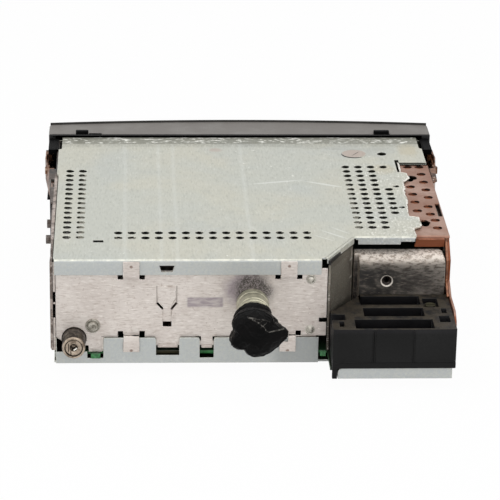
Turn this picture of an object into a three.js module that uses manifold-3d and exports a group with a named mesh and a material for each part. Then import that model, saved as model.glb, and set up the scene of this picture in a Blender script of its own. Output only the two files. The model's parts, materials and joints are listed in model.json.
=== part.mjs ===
// Car radio of the slide-in kind, modelled in millimetres.
// Seen from behind: left is +X, the rear panel faces +Y, up is +Z.
// A span gives left and right as distances from the outer face of the left wall,
// back and front as distances forward of the rear panel, bottom and top as heights over the case's underside.
import * as THREE from 'three';
import { mergeVertices } from 'three/addons/utils/BufferGeometryUtils.js';
import Module from 'manifold-3d';

const wasm = await Module();
wasm.setup();
const { Manifold, Mesh } = wasm;

// Case
const caseWidth = 178;
const caseHeight = 49.2;
const caseDepth = 158.5;
const sheet = 1;
const wallThick = 1.2;
const fit = 0.3;
const overrun = 2;
const recessWide = 58;
const recessDepth = 25.4;
const chamferWide = 14.1;

const roofUnder = caseHeight - sheet;
const wallTop = roofUnder - fit;
const lining = wallThick + fit;
const flangeBack = -fit - sheet;
const recessLeft = caseWidth - recessWide;
const recessRight = recessLeft + chamferWide;
const outerRight = caseWidth - sheet;
const innerRight = outerRight - fit - sheet;
const insideRight = innerRight - fit;

// Copper heat spreader over the right side
const copperWide = 18;
const copperSetback = 4;
const copperFrontInset = 38;
const copperLong = caseDepth - copperFrontInset - recessDepth - copperSetback;
const copperRearHeight = 5.2;
const copperRearInset = 2.2;
const copperFloor = 3;
const copper = {
  left: caseWidth - copperWide, right: caseWidth, back: recessDepth + copperSetback,
  front: recessDepth + copperSetback + copperLong, bottom: wallTop - sheet, top: wallTop,
};
const copperFlangeStep = 0.3;
const copperSideShares = [
  [1.2, 0.973], [1.2, 0.927], [0.87, 0.793], [0.89, 0.598], [0.55, 0.508],
  [-0.08, 0.508], [-0.26, 0.447], [-0.31, 0.366], [-0.31, 0.163],
];
const copperHoleRadius = 2.1;
const copperHoleShares = [
  [0.44, 0.975], [0.75, 0.975], [0.75, 0.866], [0.75, 0.751], [0.37, 0.682], [0.75, 0.638], [0.37, 0.575],
  [0.75, 0.529], [0.37, 0.464], [0.675, 0.399], [0.37, 0.342], [0.675, 0.295], [0.75, 0.212], [0.75, 0.108],
];
const copperBigHoleRadius = 2.9;
const copperBigHoleShares = [[0.45, 0.813], [0.445, 0.176]];
const copperHoleSides = 12;
const copperSlot = { inset: 2.4, wide: 1.8, back: 53.5, front: 69.5 };

// Top cover, with the torn edge beside the copper given as shares of the copper's width and length
const cornerInset = 2.2;
const cornerInsetRight = 2;
const cornerLong = 18;
const wideInset = 0.7;
const wideLong = 34.5;
const wideSlope = 2;
const tornShares = [
  [0.2, 1.005], [0.2, 0.857], [0.344, 0.846], [0.367, 0.775], [0.167, 0.709], [0.189, 0.643], [0.133, 0.588],
  [0.161, 0.468], [0.122, 0.38], [0.089, 0.232], [0.339, 0.215], [0.333, 0.1], [0.111, 0.067], [0.133, 0.007],
];
const flangeHigh = 7.2;
const flangeInset = 1.9;
const flangeGap = 1.6;
const recessFlangeHigh = 3.8;
const recessFlangeInset = 1.3;
const lipHigh = 7.2;
const lipBack = 4;
const lipFront = caseDepth - 58.5;
const frontLipHigh = 3.6;

// Vent holes
const ventPitch = 6;
const ventRadius = 1.85;
const ventSides = 12;
const rightVentsInset = 40.2;
const leftVents = { left: 6.9, back: 25.2, columns: 2, rows: 15 };
const rearVents = { left: 29.8, back: 24.5, columns: 15, rows: 2 };
const rightVents = { left: caseWidth - rightVentsInset, back: 36.9, columns: 3, rows: 14 };
const edgeVentRows = [3, 4, 5, 6, 7, 8, 13];
const coverSlot = { left: 18.8, right: 23, back: 20.3, front: 21.9 };
const roundHole = { inset: 21.1, forward: caseDepth - 25.5, radius: 2.2 };
const ovalBoss = { inset: 34.6, forward: caseDepth - 25.9, wide: 6, deep: 5.4, high: 0.35 };
const ovalSides = 24;

// Tabs and tongues of the rear panel, bent over the flanges of the covers
const tabWide = 7.2;
const tabLong = 7.6;
const tabLeft = 31.8;
const tabInset = 19.4;
const tabGapWide = 2.3;
const tabGapHigh = 2.3;
const bendHigh = 0.7;
const tongues = [
  { left: 16.6, right: 22.6, tip: 4.9, relief: 0 },
  { left: 46.8, right: 56, tip: 7.2, relief: 0 },
  { left: 66, right: 71.2, tip: 7, relief: 2.1 },
];
const tongueGap = 0.5;
const trapezoid = { left: 47.6, right: 54.3, high: 3, rise: 1.4, slope: 0.9 };

// Bottom cover
const floorFlangeHigh = 12.2;
const floorFlangeInset = 2.3;
const floorFlangeGap = 2.1;
const sideLip = 3;
const trayInset = 5.3;
const trayBack = 18.6;
const trayLipHigh = 5;
const trayCorner = 2;
const trayCornerSteps = 5;
const notchFloor = 2.5;
const notchFlare = 1.1;
const aerialCutout = 6.6;
const postRadius = 2;
const postInset = 12;

// Walls
const wallFloor = 0.4;
const clipWindow = {
  back: caseDepth - 24.5, front: caseDepth - 5.1, bottom: wallTop - 14.5, top: wallTop - 1.7,
};
const wallSlot = { back: 6, front: 13, high: 10 };
const strip = { out: 3.2, back: 20, long: caseDepth - 62.5 };
const stripShares = [[0.12, 0.23], [0.44, 0.54], [0.78, 0.73], [1, 0.96], [1, 1]];
const stripSlotShares = [[0.12, 0.6, 0.75, 0.854], [0.25, 1.1, 0.328, 0.542]];
const guideStud = { radius: 2, out: 2.6, drop: 4, places: [36, 55] };
const rightWallDrop = 1.3;
const rightWallGap = 4.6;
const frameFront = caseDepth - 2.1;

// Rear panel
const panelFloor = 8;
const floorTabInset = 1.2;
const sideNotch = { wide: 4.3, top: 12.4 };
const panelSlit = { bottom: 18.9, top: 20.9, wide: 3.3 };
const keyBoss = {
  left: 47, right: 54.9, neckLeft: 49.3, neckRight: 52.9, bottom: 0.352 * caseHeight, top: 0.738 * caseHeight,
  neckTop: 0.549 * caseHeight, waist: 0.622 * caseHeight,
};
const keyBossRise = 0.5;
const keySlot = { left: 49.8, right: 52.4, bottom: 17.8, top: 19.6 };
const panelScrew = { at: [18.6, 17.5], head: 3.3, high: 1.7, shank: 1.5, long: 5, slot: 0.9 };
const rivetInset = 6;
const rivetHeightShares = [0.801, 0.313];
const rivet = { head: 1.5, high: 0.8, shank: 0.8, long: 2.4 };

// Heat sink and amplifier chip
const sinkBack = 20;
const sinkDeep = 11;
const sinkInset = 2.8;
const shoulderInset = 0.9;
const shoulderDeep = 5;
const sinkHigh = caseHeight - 8;
const sinkCorner = 2.2;
const sinkHole = { inset: 12.5, height: 30, radius: 1.7, rim: 2.6, bevel: 1.4 };
const chip = { wide: 24, deep: 4.7, bottom: 9, top: 30 };
const leg = { count: 11, pitch: 2, wide: 0.8, deep: 1.2, inset: 1.7 };

// Connector block, with hollows given as shares of it: inset, width, setback, depth and drop
const housing = { gap: 4.1, back: 19, high: 18.5 };
const housingSlant = { top: 3.5, bottom: 4.9, back: 2.2, end: 1.2 };
const chamberDropShare = 0.8;
const chamberShares = {
  front: [0.263, 0.493, 0.7, 0.251],
  middle: [0.273, 0.492, 0.375, 0.24],
  rear: [0.185, 0.635, 0.034, 0.251],
};
const pocketShares = [
  [-0.033, 0.147, 0.266, 0.165, 0.26], [0.058, 0.037, 0.083, 0.15, 0.205],
  [0.879, 0.085, 0.207, 0.176, 0.476], [0.913, 0.041, 0.465, 0.127, 0.476],
];
const padShares = [0.779, 0.122, 0.636, 0.248, 0.151];
const foot = { wide: 2.2, deep: 1.8, lift: 0.1 };
const ledge = { out: 0.5, high: 2.9 };
const ribShares = [0.33, 0.65];
const ribWide = 0.8;
const contact = { pitch: 3.6, wide: 0.9, deep: 2.4, high: 8, base: 1.4, baseDeep: 3.4 };
const padScrew = { head: 2.4, high: 1.5, shank: 1.1, long: 5, slot: 0.7 };

// Aerial socket
const aerial = {
  at: [10.3, 11.4], outer: 5.1, bore: 4.1, back: -10.6, front: 3.6, collar: 6, collarDeep: 1.3,
};
const aerialPlug = { radius: 3.8, back: -5, front: 3.4, bore: 1.9 };
const aerialPin = { radius: 1.6, back: -8.4, front: 3.2, bore: 0.9, boreDeep: 5 };

// Rear support stud, and the tape wound in lumps over its end
const studShares = [0.7375, 0.565];
const stud = {
  at: [studShares[0] * recessLeft, studShares[1] * caseHeight], radius: 6.9, long: 31, rim: 7.1, rimDeep: 3.4,
  stem: 2.8, stemFront: 6,
};
const tapeInner = stud.radius + fit;
const tapeRings = [
  [9.3, -18.4], [10.2, -19.4], [10.4, -22.4], [9.8, -23.4], [10.8, -24.6], [11.4, -27],
  [11.4, -29.6], [10.4, -32.2], [8, -34.2], [4.4, -35.2],
];
const tapeSides = 32;
// Swellings of the tape, with turns seen from behind, anticlockwise from the right, and shares of its length
const tapeSwells = [
  { turn: -2, wide: 17, share: 0.66, spread: 0.2, size: 3 },
  { turn: 207, wide: 22, share: 0.86, spread: 0.22, size: 1.9 },
  { turn: 275, wide: 45, share: 0.8, spread: 0.3, size: 0.7 },
  { turn: 70, wide: 50, share: 0.5, spread: 0.5, size: -1.4 },
];

// Circuit boards and what stands on the main board
const boardThick = 1.6;
const boardLift = 3.3;
const boardInset = 1.5;
const boardFront = caseDepth - 6.5;
const boardLegInset = 2;
const onBoard = boardLift + boardThick + fit;
const tuner = { left: 20, right: 60, back: 70, front: boardFront - 24, high: 21.8, lid: 0.8, lidInset: 2 };
const largeCapacitor = { left: recessLeft - 16, forward: 26, radius: 9, high: 27.8 };
const smallCapacitor = { left: recessLeft - 36, forward: 22, radius: 6.5, high: 21.8 };
const choke = { left: recessLeft - 60, forward: 30, ring: 8, wire: 3.4 };
const chokeSides = 10;
const chokeSteps = 22;

// Front
const fasciaOverhang = 4.8;
const fasciaOffset = 0.3;
const fasciaRise = 1.6;
const fasciaDrop = 5.2;
const fasciaOverlap = 1.9;
const fasciaDeep = 19.4;
const fasciaBow = 4.6;
const fasciaCorner = 1.4;
const fasciaSteps = 16;
const fasciaWall = 2.2;
const fasciaRim = 1.8;
const fasciaCentre = caseWidth / 2 + fasciaOffset;
const fasciaHalf = caseWidth / 2 + fasciaOverhang;
const fasciaBottom = -fasciaDrop;
const fasciaTop = caseHeight + fasciaRise;
const fasciaBack = caseDepth - fasciaOverlap;
const fasciaFront = fasciaBack + fasciaDeep;
const cavityBack = caseDepth + fit;
const leftClip = { inset: 13, wide: 13.3, hook: 7.2 };
const rightClip = { inset: 19.7, wide: 8.4, hook: 8.4 };
const clipHigh = 1.7;
const clipDeep = 4.7;
const clipHookDeep = 2.7;

const knobInset = 15;
const knobHeight = 22.8;
const knobHalf = caseWidth / 2 - knobInset;
const knobLefts = { volume: caseWidth - knobInset, tuning: knobInset };
const shaft = { radius: 3, long: 42 };
const knob = { radius: 10.4, deep: 12, edge: 1, cap: 3.6 };
const ring = { outer: 14, inner: 3.4, sleeve: 4.6, deep: 4.1, sleeveDeep: 9.4, lift: 1.4 };
const control = { half: 9, deep: 15.1, nose: 4.6, noseLong: 4.9, bore: 3.4 };

const dialHalf = knobHalf - 22;
const dialBottom = 27;
const dialTop = 45;
const dialWindow = { thick: 1.2, setback: 4 };
const dialScale = { margin: 2.4, thick: 1 };
const rail = { half: knobHalf - 12.3, height: 23.4, setback: 8.2, radius: 1 };
const lug = { wide: 3, half: 2.4 };
const pointer = { half: 3, deep: 2.4, needle: 0.6, top: caseHeight - 6.2, thick: 1 };

const buttonBottom = 4;
const buttonHigh = 9;
const buttonGroups = [
  { name: 'preset_button', count: 5, half: 6.4, pitch: 15, first: 40 },
  { name: 'band_button', count: 2, half: 4.8, pitch: 12, first: -36 },
];
const button = { proud: 2.8, flange: 1, flangeDeep: 1.2, stem: 2, stemLong: 9 };
const frontBoard = { half: knobHalf - 18, bottom: 2, top: 20, setback: 0.4 };
const boardPost = { radius: 2, inset: 4.7, height: 17.6 };
const keyHoles = { radius: 1.5, inset: 2.7, low: 6, high: 39.6 };

// Side spring clips, seen from above: shares of how far the leaf stands out and of its length
const leaf = {
  back: caseDepth - 54.5, long: 46.5, out: 5.2, thick: 0.6, bottom: wallTop - 13.4, top: wallTop - 2.3,
};
const leafShares = [[0.06, 0], [0.2, 0.07], [0.54, 0.24], [1, 0.73], [0.96, 0.82], [0.37, 1]];
const shelfShares = [[0.19, 0], [0.6, 0.05], [0.69, 0.3], [0.69, 0.41], [0.19, 0.41]];
const shelfThick = 0.8;
const leafSlit = { wide: 1.5, back: leaf.back + 22, share: 0.48 };
const barb = { back: leaf.back + 22, front: leaf.back + 25.6, out: 5.6, slope: 1.2, share: 0.3 };

const roundSides = 24;
const smallSides = 12;
const half = 0.5;
const fullTurn = Math.PI * 2;

// Where a distance from the left wall lies
function across(left) {
  return caseWidth / 2 - left;
}

function toManifold(geometry) {
  geometry.deleteAttribute('normal');
  geometry.deleteAttribute('uv');
  const merged = mergeVertices(geometry);
  return new Manifold(new Mesh({
    numProp: 3,
    vertProperties: new Float32Array(merged.attributes.position.array),
    triVerts: new Uint32Array(merged.index.array),
  }));
}

function toGeometry(solid) {
  const mesh = solid.getMesh();
  const geometry = new THREE.BufferGeometry();
  geometry.setAttribute('position', new THREE.BufferAttribute(new Float32Array(mesh.vertProperties), 3));
  geometry.setIndex(new THREE.BufferAttribute(new Uint32Array(mesh.triVerts), 1));
  const flat = geometry.toNonIndexed();
  flat.computeVertexNormals();
  return flat;
}

function join(...solids) {
  return Manifold.union(solids);
}

function cut(solid, ...tools) {
  return solid.subtract(Manifold.union(tools));
}

function block(span) {
  const wide = span.right - span.left;
  const deep = span.front - span.back;
  const high = span.top - span.bottom;
  const geometry = new THREE.BoxGeometry(wide, deep, high);
  const x = across((span.left + span.right) / 2);
  geometry.translate(x, -(span.back + span.front) / 2, (span.bottom + span.top) / 2);
  return toManifold(geometry);
}

function shapeOf(points) {
  return new THREE.Shape(points.map(([x, y]) => new THREE.Vector2(x, y)));
}

// A plan outline in left and forward distances, drawn upwards
function plate(outline, bottom, top) {
  const shape = shapeOf(outline.map(([left, forward]) => [across(left), -forward]));
  const geometry = new THREE.ExtrudeGeometry(shape, { depth: top - bottom, bevelEnabled: false });
  geometry.translate(0, 0, bottom);
  return toManifold(geometry);
}

// An outline in left distances and heights, drawn from front to back
function upright(outline, back, front) {
  const shape = shapeOf(outline.map(([left, height]) => [across(left), height]));
  const geometry = new THREE.ExtrudeGeometry(shape, { depth: front - back, bevelEnabled: false });
  geometry.rotateX(Math.PI / 2);
  geometry.translate(0, -back, 0);
  return toManifold(geometry);
}

// An outline in forward distances and heights, drawn across
function sideways(outline, left, right) {
  const shape = shapeOf(outline.map(([forward, height]) => [-forward, height]));
  const geometry = new THREE.ExtrudeGeometry(shape, { depth: right - left, bevelEnabled: false });
  geometry.rotateX(Math.PI / 2);
  geometry.rotateZ(Math.PI / 2);
  geometry.translate(across(right), 0, 0);
  return toManifold(geometry);
}

function circle(left, forward, radius, sides, stretch = 1) {
  const points = [];
  for (let i = 0; i < sides; i += 1) {
    const turn = fullTurn * (i + half) / sides;
    points.push([left + radius * Math.cos(turn), forward + radius * stretch * Math.sin(turn)]);
  }
  return points;
}

// A rod from back to front, which may taper
function rod([left, height], radius, back, front, sides = roundSides, frontRadius = radius) {
  const geometry = new THREE.CylinderGeometry(radius, frontRadius, front - back, sides);
  geometry.translate(across(left), -(back + front) / 2, height);
  return toManifold(geometry);
}

function post([left, forward], radius, bottom, top, sides = smallSides) {
  const geometry = new THREE.CylinderGeometry(radius, radius, top - bottom, sides);
  geometry.rotateX(Math.PI / 2);
  geometry.translate(across(left), -forward, (bottom + top) / 2);
  return toManifold(geometry);
}

function crossRod(forward, height, radius, left, right) {
  const geometry = new THREE.CylinderGeometry(radius, radius, right - left, smallSides);
  geometry.rotateZ(Math.PI / 2);
  geometry.translate(across((left + right) / 2), -forward, height);
  return toManifold(geometry);
}

function ventDrill(left, forward, radius = ventRadius) {
  return post([left, forward], radius, roofUnder - overrun, caseHeight + overrun, ventSides);
}

function ventDrills(group) {
  const drills = [];
  for (let column = 0; column < group.columns; column += 1) {
    for (let row = 0; row < group.rows; row += 1) {
      drills.push(ventDrill(group.left + column * ventPitch, group.back + row * ventPitch));
    }
  }
  return drills;
}

// A point given as shares of the copper's width and length
function onCopper([acrossShare, forwardShare]) {
  return [copper.left + acrossShare * copperWide, copper.back + forwardShare * copperLong];
}

function coverOutline() {
  const cornerBack = caseDepth - cornerLong;
  const wideBack = cornerBack - wideLong;
  const wideRight = caseWidth - wideInset;
  const torn = tornShares.map(onCopper);
  const flangeRight = torn[torn.length - 1][0];
  return [
    [cornerInset, caseDepth], [cornerInset, cornerBack],
    [wideInset, cornerBack - sheet], [wideInset, wideBack],
    [lining, wideBack - wideSlope], [lining, sheet], [recessLeft, sheet], [recessRight, recessDepth],
    [flangeRight, recessDepth], ...torn.reverse(),
    [wideRight, copper.front + fit], [wideRight, cornerBack],
    [caseWidth - cornerInsetRight, cornerBack + sheet], [caseWidth - cornerInsetRight, caseDepth],
  ];
}

function makeTopCover() {
  const drills = [leftVents, rearVents, rightVents].flatMap(ventDrills);
  const edgeLeft = rightVents.left + rightVents.columns * ventPitch;
  drills.push(...edgeVentRows.map((row) => ventDrill(edgeLeft, rightVents.back + row * ventPitch)));
  drills.push(ventDrill(caseWidth - roundHole.inset, roundHole.forward, roundHole.radius));
  const oval = circle(
    caseWidth - ovalBoss.inset, ovalBoss.forward, ovalBoss.wide, ovalSides, ovalBoss.deep / ovalBoss.wide,
  );
  const flange = {
    left: flangeInset, right: recessLeft - flangeGap, back: flangeBack, bottom: caseHeight - flangeHigh,
  };
  const copperEdge = onCopper(tornShares[tornShares.length - 1])[0];
  const edges = [
    { ...flange, front: -fit, top: caseHeight },
    { ...flange, front: sheet * 2, bottom: roofUnder, top: caseHeight },
    {
      left: recessRight + recessFlangeInset, right: copperEdge - fit,
      back: recessDepth, front: recessDepth + sheet, bottom: caseHeight - recessFlangeHigh, top: caseHeight,
    },
    {
      left: lining, right: lining + sheet, back: lipBack, front: lipFront, bottom: caseHeight - lipHigh,
      top: caseHeight,
    },
    {
      left: cornerInset, right: caseWidth - cornerInsetRight, back: caseDepth - sheet, front: caseDepth,
      bottom: caseHeight - frontLipHigh, top: caseHeight,
    },
  ];
  const slot = block({ ...coverSlot, bottom: roofUnder - overrun, top: caseHeight + overrun });
  return cut(
    join(
      plate(coverOutline(), roofUnder, caseHeight),
      plate(oval, roofUnder, caseHeight + ovalBoss.high),
      ...edges.map(block),
    ),
    slot, trapezoidSlot(flangeBack - overrun, 0), ...drills,
  );
}

function trapezoidSlot(back, front) {
  const bottom = caseHeight - flangeHigh + trapezoid.rise;
  const outline = [
    [trapezoid.left, bottom + trapezoid.high], [trapezoid.right, bottom + trapezoid.high],
    [trapezoid.right - trapezoid.slope, bottom], [trapezoid.left + trapezoid.slope, bottom],
  ];
  return upright(outline, back, front);
}

function makeBottomCover() {
  const front = boardFront;
  const plates = [
    { left: lining, right: insideRight, back: -fit, front: fasciaBack - fit, bottom: 0, top: sheet },
    { left: lining, right: lining + sheet, back: lipBack, front, bottom: 0, top: sideLip },
    { left: recessLeft + trayInset, right: insideRight, back: -trayBack, front: sheet, bottom: 0, top: sheet },
  ];
  const flange = { left: floorFlangeInset, right: recessLeft - floorFlangeGap, back: flangeBack, bottom: 0 };
  plates.push({ ...flange, front: -fit, top: floorFlangeHigh }, { ...flange, front: sheet, top: sheet });
  const postFront = boardFront - postInset;
  const postRight = insideRight - postInset;
  const posts = [
    [postInset, postInset], [postInset, postFront], [postRight, postFront],
    [postRight, recessDepth + postInset], [recessLeft - postInset, postInset],
  ];
  const openings = tongues.map(flangeNotch);
  openings.push(rod(aerial.at, aerialCutout, flangeBack - overrun, 0));
  return cut(
    join(
      ...plates.map(block), trayLip(),
      ...posts.map((at) => post(at, postRadius, 0, boardLift - fit)),
    ),
    ...openings,
  );
}

// The flange is cut away where a tongue of the rear panel comes down, with flared upper corners
function flangeNotch({ left, right }) {
  const outline = [
    [left - tongueGap, notchFloor], [right + tongueGap, notchFloor],
    [right + tongueGap, floorFlangeHigh - notchFlare],
    [right + tongueGap + notchFlare, floorFlangeHigh + overrun],
    [left - tongueGap - notchFlare, floorFlangeHigh + overrun],
    [left - tongueGap, floorFlangeHigh - notchFlare],
  ];
  return upright(outline, flangeBack - overrun, 0);
}

function trayLip() {
  const left = recessLeft + trayInset;
  const outline = [[left, 0], [insideRight, 0], [insideRight, trayLipHigh], [left + trayCorner, trayLipHigh]];
  for (let i = 1; i <= trayCornerSteps; i += 1) {
    const turn = Math.PI / 2 + Math.PI / 2 * i / trayCornerSteps;
    outline.push([
      left + trayCorner + trayCorner * Math.cos(turn), trayLipHigh - trayCorner + trayCorner * Math.sin(turn),
    ]);
  }
  return upright(outline, -trayBack, -trayBack + wallThick);
}

function makeLeftWall() {
  const wall = {
    left: 0, right: wallThick, back: -sheet, front: frameFront - sheet - fit, bottom: wallFloor, top: wallTop,
  };
  const slot = block({
    back: wallSlot.back, front: wallSlot.front, left: -overrun, right: wallThick / 2,
    bottom: wallTop - wallSlot.high, top: wallTop + overrun,
  });
  const window = block({ ...clipWindow, left: -overrun, right: wallThick + overrun });
  const studs = guideStud.places.map((forward) => crossRod(
    forward, wallTop - guideStud.drop, guideStud.radius, -guideStud.out, wallThick,
  ));
  return join(cut(block(wall), window, slot), makeStrip(), ...studs);
}

// The wall's top edge, bent outwards more and more towards the front
function makeStrip() {
  const outline = stripShares.map(([outShare, forwardShare]) => [
    -outShare * strip.out, strip.back + forwardShare * strip.long,
  ]);
  outline.push([wallThick / 2, strip.back + strip.long], [wallThick / 2, strip.back], [0, strip.back]);
  const slots = stripSlotShares.map(([inner, outer, back, front]) => block({
    left: -outer * strip.out, right: -inner * strip.out,
    back: strip.back + back * strip.long, front: strip.back + front * strip.long,
    bottom: wallTop - sheet - overrun, top: wallTop + overrun,
  }));
  return cut(plate(outline, wallTop - sheet, wallTop), ...slots);
}

function makeRightWall() {
  const wall = {
    left: innerRight, right: innerRight + sheet, back: copper.back + rightWallGap,
    front: frameFront - sheet - fit, bottom: wallFloor, top: copper.bottom - rightWallDrop,
  };
  return cut(block(wall), block({ ...clipWindow, left: wall.left - overrun, right: caseWidth + overrun }));
}

function makeFrontFrame() {
  const frame = {
    left: 0, right: caseWidth, back: frameFront - sheet, front: frameFront, bottom: sheet + fit, top: wallTop,
  };
  const window = block({
    left: fasciaCentre - dialHalf - sheet, right: fasciaCentre + dialHalf + sheet, back: frame.back - overrun,
    front: frame.front + overrun, bottom: buttonBottom + sheet * 4, top: dialTop - sheet,
  });
  const holes = Object.values(knobLefts).map((left) => rod(
    [left, knobHeight], control.nose + fit, frame.back - overrun, frame.front + overrun,
  ));
  return cut(block(frame), window, ...holes);
}

// A strip lanced out of the rear panel and bent over a flange, up or down from its root
function panelTab(left, right, root, tip) {
  const low = Math.min(root, tip);
  const high = Math.max(root, tip);
  const inner = flangeBack - fit;
  const outer = inner - sheet / 2;
  const bend = { left, right, back: outer, front: sheet / 2, bottom: low, top: high };
  if (tip > root) bend.top = root + bendHigh;
  else bend.bottom = root - bendHigh;
  return join(block(bend), block({ left, right, back: outer, front: inner, bottom: low, top: high }));
}

function gapsBeside(left, bottom) {
  const span = { back: -overrun, front: sheet + overrun, bottom, top: bottom + tabGapHigh };
  return [
    block({ ...span, left: left - tabGapWide, right: left }),
    block({ ...span, left: left + tabWide, right: left + tabWide + tabGapWide }),
  ];
}

function makeRearPanel() {
  const right = recessLeft + floorTabInset;
  const panel = { left: floorFlangeInset, right, back: 0, front: sheet, bottom: panelFloor, top: wallTop };
  const through = { back: -overrun, front: sheet + overrun };
  const bossOutline = [
    [keyBoss.left, keyBoss.top], [keyBoss.right, keyBoss.top], [keyBoss.right, keyBoss.waist],
    [keyBoss.neckRight, keyBoss.neckTop], [keyBoss.neckRight, keyBoss.bottom],
    [keyBoss.neckLeft, keyBoss.bottom], [keyBoss.neckLeft, keyBoss.neckTop], [keyBoss.left, keyBoss.waist],
  ];
  const upperRoot = caseHeight - flangeHigh - fit;
  const lowerRoot = floorFlangeHigh + fit;
  const tabLefts = [tabLeft, recessLeft - tabInset];
  const tabs = tabLefts.flatMap((left) => [
    panelTab(left, left + tabWide, upperRoot - bendHigh, upperRoot - bendHigh + tabLong),
    panelTab(left, left + tabWide, lowerRoot + bendHigh, lowerRoot + bendHigh - tabLong),
  ]);
  tabs.push(...tongues.map(({ left, right, tip }) => block({
    left, right, back: 0, front: sheet, bottom: tip, top: lowerRoot + fit,
  })));
  const holes = [
    block({ ...keySlot, ...through }), trapezoidSlot(through.back, through.front),
    block({ ...panelSlit, ...through, left: right - panelSlit.wide, right: right + overrun }),
    block({ ...through, left: right - sideNotch.wide, right: right + overrun, bottom: 0, top: sideNotch.top }),
    rod(aerial.at, aerial.outer + fit, through.back, through.front),
    rod(panelScrew.at, panelScrew.shank + fit, through.back, through.front, smallSides),
    rod(stud.at, stud.stem + fit, through.back, through.front, smallSides),
    ...rivetPlaces().map((at) => rod(at, rivet.shank + fit, through.back, through.front, ventSides)),
    ...tabLefts.flatMap((left) => [
      ...gapsBeside(left, upperRoot - tabGapHigh), ...gapsBeside(left, lowerRoot),
    ]),
    ...tongues.filter(({ relief }) => relief > 0).map(({ left, right, relief }) => block({
      ...through, left: left - relief, right: right + relief, bottom: floorFlangeHigh - relief,
      top: floorFlangeHigh,
    })),
  ];
  return join(cut(join(block(panel), upright(bossOutline, -keyBossRise, sheet / 2)), ...holes), ...tabs);
}

function rivetPlaces() {
  return rivetHeightShares.map((share) => [recessLeft - rivetInset, share * caseHeight]);
}

// A slanted sheet with a bent foot at each end
function makeRecessWall() {
  const rearLeft = recessLeft + floorTabInset + fit;
  const outline = [
    [rearLeft, 0], [rearLeft, sheet + fit], [recessRight - sheet, recessDepth - half],
    [recessRight - sheet, recessDepth + overrun], [recessRight, recessDepth + overrun],
    [recessRight, recessDepth - sheet], [rearLeft + sheet, sheet + fit], [rearLeft + sheet, 0],
  ];
  return plate(outline, onBoard, wallTop);
}

function makeHeatSink() {
  const sink = {
    left: recessRight + sinkInset, right: insideRight, back: sinkBack, front: sinkBack + sinkDeep,
    bottom: onBoard, top: sinkHigh,
  };
  const shoulder = block({ ...sink, left: recessRight + shoulderInset, back: sink.front - shoulderDeep });
  const corner = block({
    ...sink, left: sink.right - sinkCorner, right: sink.right + overrun, back: sink.back - overrun,
    front: sink.front + overrun, bottom: sink.top - sinkCorner, top: sink.top + overrun,
  });
  const round = rod([sink.right - sinkCorner, sink.top - sinkCorner], sinkCorner, sink.back, sink.front);
  const at = [sink.left + sinkHole.inset, sinkHole.height];
  const hole = rod(at, sinkHole.radius, sink.back - overrun, sink.front + overrun, smallSides);
  const bevel = rod(at, sinkHole.rim, sink.back, sink.back + sinkHole.bevel, roundSides, sinkHole.radius);
  const body = cut(join(block(sink), shoulder), corner);
  return cut(join(body, round), hole, bevel);
}

function makeChip() {
  const left = (recessRight + sinkInset + insideRight - chip.wide) / 2;
  const back = sinkBack + sinkDeep + fit;
  const body = {
    left, right: left + chip.wide, back, front: back + chip.deep, bottom: chip.bottom, top: chip.top,
  };
  const legs = [];
  for (let i = 0; i < leg.count; i += 1) {
    const centre = left + chip.wide / 2 + (i - (leg.count - 1) / 2) * leg.pitch;
    legs.push(block({
      left: centre - leg.wide / 2, right: centre + leg.wide / 2, back: back + leg.inset,
      front: back + leg.inset + leg.deep, bottom: onBoard, top: chip.bottom + sheet,
    }));
  }
  return join(block(body), ...legs);
}

function makeCopperSpreader() {
  const profile = copperSideShares.map(([depthShare, heightShare]) => [
    depthShare * recessDepth, heightShare * caseHeight,
  ]);
  profile.push([copper.back, copperFloor], [copper.front, copperFloor], [copper.front, wallTop]);
  const flange = {
    left: copper.left + copperRearInset, right: copper.right - copperRearInset,
    back: copper.back - copperFlangeStep, front: copper.back + sheet - copperFlangeStep,
    bottom: wallTop - copperRearHeight, top: wallTop - sheet / 2,
  };
  const below = copper.bottom - overrun;
  const above = copper.top + overrun;
  const drill = (shares, radius) => plate(circle(...onCopper(shares), radius, copperHoleSides), below, above);
  const holes = copperHoleShares.map((shares) => drill(shares, copperHoleRadius));
  holes.push(...copperBigHoleShares.map((shares) => drill(shares, copperBigHoleRadius)));
  holes.push(block({
    left: copper.right - copperSlot.inset, right: copper.right - copperSlot.inset + copperSlot.wide,
    back: copperSlot.back, front: copperSlot.front, bottom: below, top: above,
  }));
  return cut(join(block(copper), block(flange), sideways(profile, outerRight, caseWidth)), ...holes);
}

function housingSpan() {
  const right = outerRight - fit;
  const bottom = onBoard;
  return {
    left: right - recessWide + housing.gap, right, back: -housing.back, front: sinkBack - fit, bottom,
    top: bottom + housing.high,
  };
}

// A hollow sunk into the top of the housing
function sunk([insetShare, wideShare, backShare, deepShare, dropShare = chamberDropShare]) {
  const span = housingSpan();
  const wide = span.right - span.left;
  const deep = span.front - span.back;
  const left = span.left + insetShare * wide;
  const back = span.back + backShare * deep;
  return {
    left, right: left + wideShare * wide, back, front: back + deepShare * deep,
    bottom: span.top - dropShare * housing.high, top: span.top,
  };
}

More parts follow.
